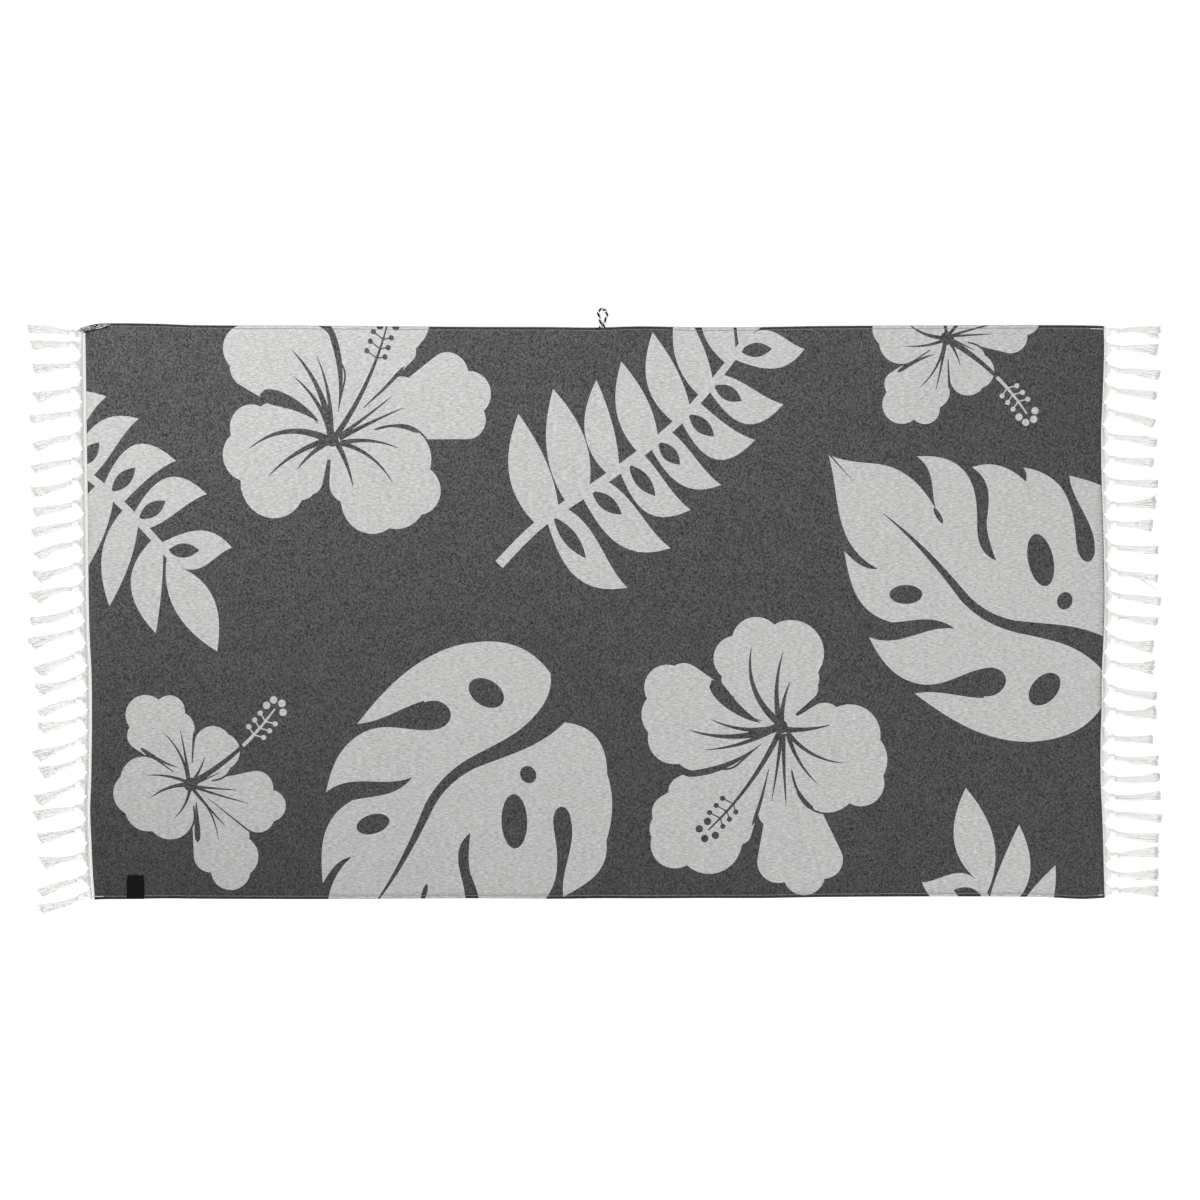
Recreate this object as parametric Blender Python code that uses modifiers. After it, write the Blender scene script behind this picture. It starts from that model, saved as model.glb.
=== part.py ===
"""Hammam towel lying flat: one hemmed cloth, a knotted fringe at each end, a twisted
cord loop to hang it by, and a small plain label.

Metres, +Z up.  The origin is the middle of the cloth's underside.  +X runs along the
towel's length, and +Y points to the long side that carries the loop.
"""

import math
from collections import namedtuple

import bmesh
import bpy
from mathutils import Vector

MM = 0.001

# ---------------------------------------------------------------------------
# Driving dimensions
# ---------------------------------------------------------------------------
GAP = 0.3 * MM                  # between pieces that are sewn together

CLOTH_LENGTH = 1592 * MM        # between the two end bands
CLOTH_WIDTH = 900 * MM
CLOTH_THICK = 1.2 * MM
HEM_THICK = 2.4 * MM            # the long sides, turned over twice
HEM_WIDTH = 7 * MM
HEM_SLOPE = 1.5 * MM            # from the top of the hem down to the single cloth
STATIONS_ALONG = 34             # cross sections along the length
STATIONS_ACROSS = 16            # rows of points between the two hems

BAND_THICK = 1.6 * MM           # the woven end bands that carry the fringes
LEFT_SIZES = (7 * MM, 20.5 * MM)    # band width, and the knots' middle from the cloth
RIGHT_SIZES = (4 * MM, 17 * MM)

FAN_THICK = 1.0 * MM            # warp yarns side by side, where they leave the band
FAN_LIFT = 0.3 * MM             # they leave the band's middle, just above the floor
FAN_INSET = 1.5 * MM            # their roots, inside the band
FAN_BEND = 5 * MM               # from the root to where the fan narrows faster
FAN_DRAW = 3 * MM               # drawn in at each side over that stretch
FAN_SPACE = 1 * MM              # between the roots of two tassels
KNOT_LENGTH = 10 * MM
KNOT_WIDTH = 11 * MM
KNOT_HEIGHT = 6 * MM
STRANDS_PER_TASSEL = 5
STRAND_ROOT_PITCH = 1.75 * MM   # from strand to strand, where they leave the knot
STRAND_IN_KNOT = 2 * MM
STRAND_LIFT = 1.5 * MM          # their roots' height inside the knot
STRAND_FALL = 4 * MM            # from the knot to where they lie on the floor
STRAND_HEIGHT = 3.2 * MM
STRAND_TIP_HEIGHT = 2.4 * MM
STRAND_FILL = 0.85              # a strand's width over the space that it has
STRAND_STAGGER = 3 * MM         # how unevenly the tips are cut

CORD_DIAMETER = 4 * MM
CORD_LAY = 11 * MM              # one full turn of the two plies
CORD_PLY_DEPTH = 0.28           # how far the groove between the plies cuts in
CORD_STEPS_PER_TURN = 8
CORD_SIDES = 12

LABEL_WIDTH = 27 * MM
LABEL_TOP_WIDTH = 24.5 * MM
LABEL_HEIGHT = 37 * MM
LABEL_THICK = 1.0 * MM
LABEL_MIDDLE = -725 * MM        # along the length
LABEL_TAPER = 8 * MM            # the part that narrows to the top edge

# ---------------------------------------------------------------------------
# How the edges wander, in millimetres from the straight outline
# ---------------------------------------------------------------------------
LongSides = namedtuple("LongSides", "along lower upper")
LONG_SIDES = (
    LongSides(-800, -2.5, -2.5),
    LongSides(-781, -1.5, 3.0),
    LongSides(-749, -1.3, 4.4),
    LongSides(-686, -0.3, 3.6),
    LongSides(-624, -0.8, 1.4),
    LongSides(-435, -1.3, 0.3),
    LongSides(-183, -0.1, -1.4),
    LongSides(-73, -0.9, -1.6),
    LongSides(6, 0.0, -2.4),
    LongSides(69, -0.3, -0.5),
    LongSides(163, 0.3, -2.1),
    LongSides(258, 0.3, -1.7),
    LongSides(352, 1.9, 0.0),
    LongSides(541, 2.8, 0.8),
    LongSides(698, 1.9, 1.4),
    LongSides(761, -1.1, 1.1),
    LongSides(800, 1.0, 0.0),
)

Ends = namedtuple("Ends", "across left right")
ENDS = (
    Ends(-448, 8.2, 2.8),
    Ends(-409, 5.2, 1.8),
    Ends(-352, 2.5, 0.3),
    Ends(-311, 1.0, -1.2),
    Ends(-267, 2.5, -3.2),
    Ends(-201, 3.6, -3.4),
    Ends(-154, 3.8, -1.9),
    Ends(-97, 3.2, -1.4),
    Ends(-41, 0.3, 1.2),
    Ends(16, -1.2, 2.8),
    Ends(101, -2.0, 1.6),
    Ends(158, -2.5, 0.0),
    Ends(214, -3.3, -1.9),
    Ends(285, -4.5, -2.4),
    Ends(328, -5.0, -0.6),
    Ends(413, -6.1, 2.2),
    Ends(448, -6.9, 1.4),
)

# ---------------------------------------------------------------------------
# The tassels, from the loop's side down, in millimetres.  knot: where the knot is
# across the towel.  bend, lean: how far the middle and the tip stand off that line.
# spread: width of the brush at its tip.  reach: from the cloth's end to the tip.
# ---------------------------------------------------------------------------
Tassel = namedtuple("Tassel", "knot bend lean spread reach")
TASSELS_LEFT = (
    Tassel(441, 4, 5, 13, 100),
    Tassel(420, 1, -1, 13, 95),
    Tassel(388, -3, -6, 17, 92),
    Tassel(349, -6, -13, 20, 90),
    Tassel(312, -4, -10, 12, 95),
    Tassel(276, -7, -18, 13, 90),
    Tassel(237, -5, -14, 14, 93),
    Tassel(206, -12, -18, 17, 93),
    Tassel(170, -8, -14, 14, 90),
    Tassel(139, -7, -15, 14, 93),
    Tassel(107, -6, -19, 13, 87),
    Tassel(72, -10, -21, 27, 89),
    Tassel(37, -4, -19, 28, 92),
    Tassel(3, -13, -18, 13, 95),
    Tassel(-30, -10, -22, 20, 97),
    Tassel(-67, -14, -30, 22, 86),
    Tassel(-103, -13, -22, 23, 86),
    Tassel(-139, -8, -22, 14, 82),
    Tassel(-170, -8, -15, 22, 82),
    Tassel(-204, -13, -25, 23, 89),
    Tassel(-234, -12, -21, 23, 81),
    Tassel(-271, -14, -28, 22, 87),
    Tassel(-309, -5, -13, 18, 90),
    Tassel(-342, -9, -15, 18, 84),
    Tassel(-385, -6, -12, 24, 79),
    Tassel(-421, -9, -22, 17, 82),
    Tassel(-448, -13, -21, 16, 81),
)
TASSELS_RIGHT = (
    Tassel(442, 3, 0, 14, 92),
    Tassel(416, 0, -2, 17, 88),
    Tassel(380, -3, -8, 16, 91),
    Tassel(348, -4, -8, 13, 86),
    Tassel(313, -7, -17, 13, 83),
    Tassel(275, -3, -9, 13, 86),
    Tassel(240, -3, -6, 14, 81),
    Tassel(205, -3, -3, 13, 88),
    Tassel(168, 1, 5, 23, 86),
    Tassel(138, -1, -1, 20, 80),
    Tassel(101, -2, -4, 12, 88),
    Tassel(62, -6, -15, 17, 89),
    Tassel(25, -4, -9, 12, 92),
    Tassel(-8, -4, -7, 13, 88),
    Tassel(-44, -8, -11, 19, 81),
    Tassel(-82, -4, -6, 24, 83),
    Tassel(-121, -8, -12, 12, 86),
    Tassel(-156, -5, -2, 22, 86),
    Tassel(-199, -2, -1, 12, 80),
    Tassel(-229, -5, -5, 16, 89),
    Tassel(-263, -1, 4, 13, 91),
    Tassel(-292, 0, 4, 12, 92),
    Tassel(-318, -3, -7, 12, 94),
    Tassel(-348, -6, -8, 14, 89),
    Tassel(-384, 4, 6, 18, 89),
    Tassel(-413, -2, 0, 19, 89),
    Tassel(-439, 1, 0, 19, 89),
)

# The middle of the cord loop, in millimetres: along the length, and out from the hem
LOOP_ROUTE = (
    (6.1, 0.0),
    (6.9, 3.5),
    (6.4, 8.5),
    (4.9, 14.0),
    (3.4, 19.5),
    (3.0, 24.0),
    (5.1, 27.5),
    (9.0, 28.6),
    (13.2, 27.0),
    (15.9, 23.0),
    (16.6, 18.0),
    (14.5, 12.4),
    (12.2, 7.4),
    (11.4, 3.5),
    (12.0, 0.0),
)

# A knot's section, a squat octagon: shares of the half width and the half height
KNOT_SECTION = (
    (1.0, 0.5), (0.8, 1.0), (-0.8, 1.0), (-1.0, 0.5),
    (-1.0, -0.5), (-0.8, -1.0), (0.8, -1.0), (1.0, -0.5),
)
# Its sections along the tassel: shares of the half length and of the full section
KNOT_RINGS = ((-1.0, 0.6), (0.0, 1.0), (1.0, 0.88))

# Colour (linear RGB), roughness
CHARCOAL_COTTON = ((0.085, 0.085, 0.088), 0.95)
WHITE_COTTON = ((0.84, 0.84, 0.80), 0.95)
BLACK_WHITE_CORD = ((0.20, 0.20, 0.20), 0.80)
BLACK_LABEL = ((0.010, 0.010, 0.011), 0.85)


# ---------------------------------------------------------------------------
# The outline
# ---------------------------------------------------------------------------
def read_row(table, position, column):
    """A table's column at a position between its rows, on a smooth curve."""
    last = len(table) - 1
    if position <= table[0][0]:
        return getattr(table[0], column)
    if position >= table[last][0]:
        return getattr(table[last], column)
    row = 0
    while table[row + 1][0] < position:
        row += 1
    start, end = table[row], table[row + 1]
    before, after = table[max(row - 1, 0)], table[min(row + 2, last)]
    share = (position - start[0]) / (end[0] - start[0])
    value_start = getattr(start, column)
    value_end = getattr(end, column)
    rise_start = (value_end - getattr(before, column)) / (end[0] - before[0])
    rise_end = (getattr(after, column) - value_start) / (after[0] - start[0])
    span = end[0] - start[0]
    return (
        value_start * (2 * share ** 3 - 3 * share ** 2 + 1)
        + value_end * (3 * share ** 2 - 2 * share ** 3)
        + rise_start * span * (share ** 3 - 2 * share ** 2 + share)
        + rise_end * span * (share ** 3 - share ** 2)
    )


def lower_side(x):
    """Where the long side away from the loop lies, across the towel."""
    return -CLOTH_WIDTH / 2 + MM * read_row(LONG_SIDES, x / MM, "lower")


def upper_side(x):
    """Where the long side with the loop lies, across the towel."""
    return CLOTH_WIDTH / 2 + MM * read_row(LONG_SIDES, x / MM, "upper")


def left_end(y):
    """Where the cloth ends at -X."""
    return -CLOTH_LENGTH / 2 + MM * read_row(ENDS, y / MM, "left")


def right_end(y):
    """Where the cloth ends at +X."""
    return CLOTH_LENGTH / 2 + MM * read_row(ENDS, y / MM, "right")


# ---------------------------------------------------------------------------
# Making meshes
# ---------------------------------------------------------------------------
def clear_scene():
    """Remove every object from the scene."""
    for old in list(bpy.data.objects):
        bpy.data.objects.remove(old)


def new_collection(name):
    """A collection linked to the scene."""
    collection = bpy.data.collections.new(name)
    bpy.context.scene.collection.children.link(collection)
    return collection


def material(name, finish):
    """A Principled material of one colour and roughness."""
    colour, roughness = finish
    made = bpy.data.materials.new(name)
    made.use_nodes = True
    shader = made.node_tree.nodes["Principled BSDF"]
    shader.inputs["Base Color"].default_value = (*colour, 1.0)
    shader.inputs["Roughness"].default_value = roughness
    shader.inputs["Metallic"].default_value = 0.0
    return made


def object_from(name, mesh_builder, collection, finish=None):
    """An object from a bmesh, in a collection, with its material."""
    mesh = bpy.data.meshes.new(name)
    mesh_builder.to_mesh(mesh)
    mesh_builder.free()
    made = bpy.data.objects.new(name, mesh)
    collection.objects.link(made)
    if finish is not None:
        mesh.materials.append(material(name, finish))
    return made


def sheet(name, rows, thick, collection, finish):
    """A sheet from rows of (x, y, z, share of the full thickness) on its underside."""
    builder = bmesh.new()
    grid = [[builder.verts.new(point[:3]) for point in row] for row in rows]
    for near, far in zip(grid, grid[1:]):
        for one, two, three, four in zip(near, near[1:], far[1:], far):
            builder.faces.new((one, two, three, four))
    shares = [point[3] for row in rows for point in row]
    made = object_from(name, builder, collection, finish)
    group = made.vertex_groups.new(name="thickness")
    for index, share in enumerate(shares):
        group.add([index], share, "REPLACE")
    solid = made.modifiers.new("Solidify", "SOLIDIFY")
    solid.thickness = thick
    solid.offset = 1.0
    solid.vertex_group = "thickness"
    return made


def loft(builder, rings):
    """A closed tube through rings of equally many points, with flat ends."""
    made = [[builder.verts.new(point) for point in ring] for ring in rings]
    count = len(made[0])
    for near, far in zip(made, made[1:]):
        for side in range(count):
            after = (side + 1) % count
            builder.faces.new((near[side], near[after], far[after], far[side]))
    builder.faces.new(made[0])
    builder.faces.new(made[-1])


# ---------------------------------------------------------------------------
# Cloth and label
# ---------------------------------------------------------------------------
def cloth_levels(lower, upper):
    """Across one section: (y, share of the hem's thickness), hem to hem."""
    single = CLOTH_THICK / HEM_THICK
    inner_lower = lower + HEM_WIDTH + HEM_SLOPE
    inner_upper = upper - HEM_WIDTH - HEM_SLOPE
    levels = [(lower, 1.0), (lower + HEM_WIDTH, 1.0)]
    for step in range(STATIONS_ACROSS + 1):
        share = step / STATIONS_ACROSS
        levels.append((inner_lower + (inner_upper - inner_lower) * share, single))
    levels.append((upper - HEM_WIDTH, 1.0))
    levels.append((upper, 1.0))
    return levels


def cloth_x(share, y):
    """Along the towel, at a share of the way from the left end to the right one."""
    return left_end(y) * (1 - share) + right_end(y) * share


def make_cloth(collection):
    """The cloth with its two hems, flat underneath, ending where the bands start."""
    rows = []
    for station in range(STATIONS_ALONG + 1):
        share = station / STATIONS_ALONG
        straight = CLOTH_LENGTH * (share - 0.5)
        row = []
        for y, thick_share in cloth_levels(lower_side(straight), upper_side(straight)):
            row.append((cloth_x(share, y), y, 0.0, thick_share))
        rows.append(row[::-1])
    return sheet("cloth", rows, HEM_THICK, collection, CHARCOAL_COTTON)


def sewn_edge(side, x):
    """Where a long side of the finished cloth lies at x, straight between sections."""
    for station in range(STATIONS_ALONG):
        section = []
        for share in (station / STATIONS_ALONG, (station + 1) / STATIONS_ALONG):
            y = side(CLOTH_LENGTH * (share - 0.5))
            section.append((cloth_x(share, y), y))
        (near_x, near_y), (far_x, far_y) = section
        if near_x <= x <= far_x:
            return near_y + (far_y - near_y) * (x - near_x) / (far_x - near_x)
    raise ValueError("beyond the cloth's ends")


def make_label(collection):
    """The label: flat on the cloth, and stepping up over the hem to its edge."""
    edge = sewn_edge(lower_side, LABEL_MIDDLE)
    on_hem = HEM_THICK + GAP
    on_cloth = CLOTH_THICK + GAP
    levels = (
        (0.0, on_hem, LABEL_WIDTH),
        (HEM_WIDTH + HEM_SLOPE / 2, on_hem, LABEL_WIDTH),
        (HEM_WIDTH + 2 * HEM_SLOPE, on_cloth, LABEL_WIDTH),
        (LABEL_HEIGHT - LABEL_TAPER, on_cloth, LABEL_WIDTH),
        (LABEL_HEIGHT, on_cloth, LABEL_TOP_WIDTH),
    )
    rows = []
    for from_edge, height, width in levels:
        row = []
        for side in (-0.5, 0.5):
            row.append((LABEL_MIDDLE + side * width, edge + from_edge, height, 1.0))
        rows.append(row)
    return sheet("label", rows, LABEL_THICK, collection, BLACK_LABEL)


# ---------------------------------------------------------------------------
# Fringes
# ---------------------------------------------------------------------------
def make_band(name, end, outward, width, collection):
    """One end band: a narrow strip that follows the cloth's end, a gap away."""
    corner = outward * CLOTH_LENGTH / 2
    rows = []
    for y, _ in cloth_levels(lower_side(corner), upper_side(corner)):
        inner = end(y) + outward * GAP
        outer = end(y) + outward * (GAP + width)
        near, far = sorted((inner, outer))
        rows.append([(near, y, 0.0, 1.0), (far, y, 0.0, 1.0)])
    return sheet(name, rows, BAND_THICK, collection, WHITE_COTTON)


def add_fan(builder, outward, root, foot_lower, foot_upper, knot):
    """The warp yarns of one tassel, drawn in from the band to the knot."""
    rings = []
    ends = (
        (root, foot_lower, foot_upper, FAN_THICK),
        (root + outward * FAN_BEND, foot_lower + FAN_DRAW, foot_upper - FAN_DRAW, FAN_THICK),
        (knot[0], knot[1] - KNOT_WIDTH / 4, knot[1] + KNOT_WIDTH / 4, KNOT_HEIGHT / 2),
    )
    for x, lower, upper, thick in ends:
        rings.append((
            (x, lower, FAN_LIFT),
            (x, upper, FAN_LIFT),
            (x, upper, FAN_LIFT + thick),
            (x, lower, FAN_LIFT + thick),
        ))
    loft(builder, rings)


def add_knot(builder, knot, direction):
    """One knot: a squat lump that rests on its flat and points along the tassel."""
    across = Vector((-direction[1], direction[0]))
    rings = []
    for along, size in KNOT_RINGS:
        middle = knot + direction * along * KNOT_LENGTH / 2
        ring = []
        for side, up in KNOT_SECTION:
            point = middle + across * side * size * KNOT_WIDTH / 2
            ring.append((point[0], point[1], KNOT_HEIGHT / 2 * (1 + up * size)))
        rings.append(ring)
    loft(builder, rings)


def strand_ring(middle, across, width, height, bottom):
    """A three-sided section with its flat side down."""
    half = across * width / 2
    return (
        (middle[0] - half[0], middle[1] - half[1], bottom),
        (middle[0] + half[0], middle[1] + half[1], bottom),
        (middle[0], middle[1], bottom + height),
    )


def add_strands(builder, tassel, knot, direction, middle, tip):
    """The loose strands of one tassel, side by side, level on the floor."""
    leaving = KNOT_LENGTH / 2
    tip_pitch = tassel.spread * MM / STRANDS_PER_TASSEL
    middle_pitch = (STRAND_ROOT_PITCH + tip_pitch) / 2
    line = (
        (knot + direction * (leaving - STRAND_IN_KNOT), STRAND_ROOT_PITCH, STRAND_LIFT),
        (knot + direction * (leaving + STRAND_FALL), STRAND_ROOT_PITCH, 0.0),
        (middle, middle_pitch, 0.0),
        (tip, tip_pitch, 0.0),
    )
    last = len(line) - 1
    for strand in range(STRANDS_PER_TASSEL):
        place = strand - (STRANDS_PER_TASSEL - 1) / 2
        cut_back = STRAND_STAGGER * (1 + math.sin(tassel.knot + 2.1 * strand)) / 2
        rings = []
        for index, (centre, pitch, bottom) in enumerate(line):
            before, after = line[max(index - 1, 0)][0], line[min(index + 1, last)][0]
            heading = (after - before).normalized()
            across = Vector((-heading[1], heading[0]))
            point = centre + across * place * pitch
            height = STRAND_HEIGHT
            if index == last:
                point = point - heading * cut_back
                height = STRAND_TIP_HEIGHT
            width = min(pitch * STRAND_FILL, pitch - GAP)
            rings.append(strand_ring(point, across, width, height, bottom))
        loft(builder, rings)


def make_fringe(name, tassels, end, outward, sizes, collection, cutters):
    """One end band with its tassels, all joined into one body."""
    band_width, knot_from_cloth = sizes
    band = make_band(name, end, outward, band_width, collection)
    corner = outward * CLOTH_LENGTH / 2
    builder = bmesh.new()
    for index, tassel in enumerate(tassels):
        y = tassel.knot * MM
        upper = upper_side(corner) - FAN_SPACE / 2
        lower = lower_side(corner) + FAN_SPACE / 2
        if index > 0:
            upper = (tassels[index - 1].knot * MM + y) / 2 - FAN_SPACE / 2
        if index < len(tassels) - 1:
            lower = (tassels[index + 1].knot * MM + y) / 2 + FAN_SPACE / 2
        knot = Vector((end(y) + outward * knot_from_cloth, y))
        tip_x = outward * (CLOTH_LENGTH / 2 + tassel.reach * MM)
        tip = Vector((tip_x, y + tassel.lean * MM))
        middle = Vector(((knot[0] + tip[0]) / 2, y + tassel.bend * MM))
        direction = (middle - knot).normalized()
        root = end(y) + outward * (GAP + band_width - FAN_INSET)
        add_fan(builder, outward, root, lower, upper, knot)
        add_knot(builder, knot, direction)
        add_strands(builder, tassel, knot, direction, middle, tip)
    bmesh.ops.recalc_face_normals(builder, faces=builder.faces)
    joined = object_from(name + "_tassels", builder, cutters)
    joined.hide_render = True
    joined.display_type = "WIRE"
    union = band.modifiers.new("Tassels", "BOOLEAN")
    union.operation = "UNION"
    union.solver = "EXACT"
    union.use_self = True
    union.object = joined
    return band


# ---------------------------------------------------------------------------
# Hanging loop
# ---------------------------------------------------------------------------
def smooth_route(points, steps):
    """Points at even steps along a smooth curve through the given ones."""
    fine = []
    last = len(points) - 1
    for index in range(last):
        before = points[max(index - 1, 0)]
        start, end = points[index], points[index + 1]
        after = points[min(index + 2, last)]
        for part in range(12):
            share = part / 12
            fine.append(
                0.5 * (2 * start + (end - before) * share
                       + (2 * before - 5 * start + 4 * end - after) * share ** 2
                       + (3 * start - before - 3 * end + after) * share ** 3)
            )
    fine.append(points[-1])
    reached = [0.0]
    for one, two in zip(fine, fine[1:]):
        reached.append(reached[-1] + (two - one).length)
    route = []
    piece = 0
    for step in range(steps + 1):
        wanted = reached[-1] * step / steps
        while piece < len(fine) - 2 and reached[piece + 1] < wanted:
            piece += 1
        span = reached[piece + 1] - reached[piece]
        route.append(fine[piece].lerp(fine[piece + 1], (wanted - reached[piece]) / span))
    return route, reached[-1]


def cord_section(centre, across, turn):
    """A round section with a groove on each side, turned with the twist."""
    ring = []
    for side in range(CORD_SIDES):
        angle = 2 * math.pi * side / CORD_SIDES
        groove = CORD_PLY_DEPTH * (0.5 - 0.5 * math.cos(2 * (angle - turn)))
        radius = CORD_DIAMETER / 2 * (1 - groove)
        ring.append(
            centre + across * radius * math.cos(angle) + Vector((0, 0, radius * math.sin(angle)))
        )
    return ring


def make_loop(collection):
    """The two-ply cord, from the hem, round the loop and back to the hem."""
    lift = CORD_DIAMETER / 2
    points = []
    for along, out in LOOP_ROUTE:
        x = along * MM
        hem_edge = sewn_edge(upper_side, x) + GAP
        points.append(Vector((x, hem_edge + out * MM, lift)))
    _, length = smooth_route(points, 2)
    steps = round(length / CORD_LAY * CORD_STEPS_PER_TURN)
    route, length = smooth_route(points, steps)
    rings = []
    for index, centre in enumerate(route):
        before, after = route[max(index - 1, 0)], route[min(index + 1, steps)]
        direction = (after - before).normalized()
        if index in (0, steps):
            direction = Vector((0, 1, 0)) if index == 0 else Vector((0, -1, 0))
        across = Vector((direction[1], -direction[0], 0))
        turn = 2 * math.pi * (length * index / steps) / CORD_LAY
        rings.append(cord_section(centre, across, turn))
    builder = bmesh.new()
    loft(builder, rings)
    bmesh.ops.recalc_face_normals(builder, faces=builder.faces)
    return object_from("hanging_loop", builder, collection, BLACK_WHITE_CORD)


def main():
    """Build the towel."""
    clear_scene()
    towel = new_collection("hammam_towel")
    cutters = new_collection("cutters")
    make_cloth(towel)
    make_fringe("fringe_left", TASSELS_LEFT, left_end, -1, LEFT_SIZES, towel, cutters)
    make_fringe("fringe_right", TASSELS_RIGHT, right_end, 1, RIGHT_SIZES, towel, cutters)
    make_loop(towel)
    make_label(towel)


main()
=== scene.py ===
"""Hammam towel lying flat: the woven cloth with its motifs, the stitched hems, the two
knotted fringes, the twisted hanging loop and the small plain label.

Metres, +Z up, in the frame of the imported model.  +X runs along the towel, and +Y points
to the long side that carries the loop.  The tables are in millimetres.
"""

import math
import random
from collections import namedtuple

import bpy
from bpy.props import FloatProperty, FloatVectorProperty, IntProperty, PointerProperty
from bpy.types import Operator, Panel, PropertyGroup
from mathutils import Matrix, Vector, noise
from mathutils.geometry import delaunay_2d_cdt


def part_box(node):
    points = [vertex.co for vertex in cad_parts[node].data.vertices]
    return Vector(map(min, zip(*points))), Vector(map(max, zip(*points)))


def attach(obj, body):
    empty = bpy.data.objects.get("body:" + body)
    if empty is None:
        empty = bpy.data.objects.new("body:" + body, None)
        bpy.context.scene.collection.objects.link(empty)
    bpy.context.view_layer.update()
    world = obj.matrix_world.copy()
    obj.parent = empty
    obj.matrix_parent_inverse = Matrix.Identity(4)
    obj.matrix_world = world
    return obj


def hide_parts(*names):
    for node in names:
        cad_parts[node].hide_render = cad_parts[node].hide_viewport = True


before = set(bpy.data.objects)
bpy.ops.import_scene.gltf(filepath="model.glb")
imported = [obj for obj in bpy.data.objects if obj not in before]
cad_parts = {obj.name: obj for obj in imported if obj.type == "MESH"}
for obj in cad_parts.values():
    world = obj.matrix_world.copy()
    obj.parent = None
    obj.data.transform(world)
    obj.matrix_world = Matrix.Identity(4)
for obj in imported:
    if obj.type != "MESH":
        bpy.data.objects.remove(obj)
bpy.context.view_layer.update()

bl_info = {
    "name": "Hammam towel",
    "version": (1, 0, 0),
    "blender": (4, 5, 0),
    "location": "3D View > Sidebar > Towel",
    "description": "A jacquard hammam towel with knotted fringes, lying flat",
    "category": "Object",
}

MM = 0.001
UP = Vector((0, 0, 1))


def rows_of(kind, *values):
    """A table of rows of one kind."""
    return tuple(kind(*row) for row in values)


def shares(steps):
    """Even steps from 0 to 1."""
    return [step / steps for step in range(steps + 1)]


# ---- The cloth's outline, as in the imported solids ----
CLOTH_LENGTH = 1592 * MM
CLOTH_WIDTH = 900 * MM
GAP = 0.3 * MM
LEFT_SIZES = (5.9 * MM, 19.4 * MM)      # band width, and from the cloth to a knot's middle
RIGHT_SIZES = (1.9 * MM, 16.5 * MM)
LEFT_SHOWN, RIGHT_SHOWN = 1.1 * MM, 0.5 * MM    # of the cloth, past its solid's ends
LABEL_MIDDLE = -725 * MM

LongSides = namedtuple("LongSides", "along lower upper")
LONG_SIDES = rows_of(
    LongSides,
    (-800, -2.5, -2.5), (-781, -1.5, 3.0), (-749, -1.3, 4.4), (-686, -0.3, 3.6), (-624, -0.8, 1.4),
    (-435, -1.3, 0.3), (-183, -0.1, -1.4), (-73, -0.9, -1.6), (6, 0.0, -2.4), (69, -0.3, -0.5),
    (163, 0.3, -2.1), (258, 0.3, -1.7), (352, 1.9, 0.0), (541, 2.8, 0.8), (698, 1.9, 1.4),
    (761, -1.1, 1.1), (800, 1.0, 0.0),
)

Ends = namedtuple("Ends", "across left right")
ENDS = rows_of(
    Ends,
    (-448, 8.2, 2.8), (-409, 5.2, 1.8), (-352, 2.5, 0.3), (-311, 1.0, -1.2), (-267, 2.5, -3.2),
    (-201, 3.6, -3.4), (-154, 3.8, -1.9), (-97, 3.2, -1.4), (-41, 0.3, 1.2), (16, -1.2, 2.8),
    (101, -2.0, 1.6), (158, -2.5, 0.0), (214, -3.3, -1.9), (285, -4.5, -2.4), (328, -5.0, -0.6),
    (413, -6.1, 2.2), (448, -6.9, 1.4),
)

# The tassels, from the loop's side down.  knot: where the knot is across the towel.
# bend, lean: how far the middle and the tip stand off that line.  spread: width of the
# brush at its tip.  reach: from the cloth's end to the tip.
Tassel = namedtuple("Tassel", "knot bend lean spread reach")
TASSELS_LEFT = rows_of(
    Tassel,
    (438, 6, 8, 13, 100), (420, 1, -1, 13, 95), (388, -3, -6, 17, 92), (349, -6, -13, 20, 90),
    (312, -4, -10, 12, 95), (276, -7, -18, 13, 90), (237, -5, -14, 14, 93),
    (206, -12, -18, 17, 93), (170, -8, -14, 14, 90), (139, -7, -15, 14, 93),
    (107, -6, -19, 13, 87), (72, -10, -21, 27, 89), (37, -4, -19, 28, 92), (3, -13, -18, 13, 95),
    (-30, -10, -22, 20, 97), (-67, -14, -30, 22, 86), (-103, -13, -22, 23, 86),
    (-139, -8, -22, 14, 82), (-170, -8, -15, 22, 82), (-204, -13, -25, 23, 89),
    (-234, -12, -21, 23, 81), (-271, -14, -28, 22, 87), (-309, -5, -13, 18, 90),
    (-342, -9, -15, 18, 84), (-385, -6, -12, 24, 79), (-421, -9, -22, 17, 82),
    (-448, -13, -21, 16, 81),
)
TASSELS_RIGHT = rows_of(
    Tassel,
    (441, 3, -2, 19, 92), (415, 0, -3, 20, 88), (380, -3, -8, 16, 91), (348, -4, -8, 13, 86),
    (313, -7, -17, 13, 83), (275, -3, -9, 13, 86), (240, -3, -6, 14, 81), (205, -3, -3, 13, 88),
    (168, 1, 5, 23, 86), (138, -1, -1, 20, 80), (101, -2, -4, 12, 88), (62, -5, -9, 11, 88),
    (25, -4, -9, 12, 92), (-8, -4, -7, 13, 88), (-44, -8, -11, 19, 81), (-82, -4, -6, 24, 83),
    (-121, -8, -12, 12, 86), (-156, -5, -2, 22, 86), (-199, -2, -1, 12, 80),
    (-229, -5, -5, 16, 89), (-263, -1, 4, 13, 91), (-292, 0, 4, 12, 92), (-318, -3, -7, 12, 94),
    (-348, -6, -8, 14, 89), (-384, 4, 6, 18, 89), (-413, -2, 0, 19, 89), (-439, 1, 0, 19, 89),
)

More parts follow.
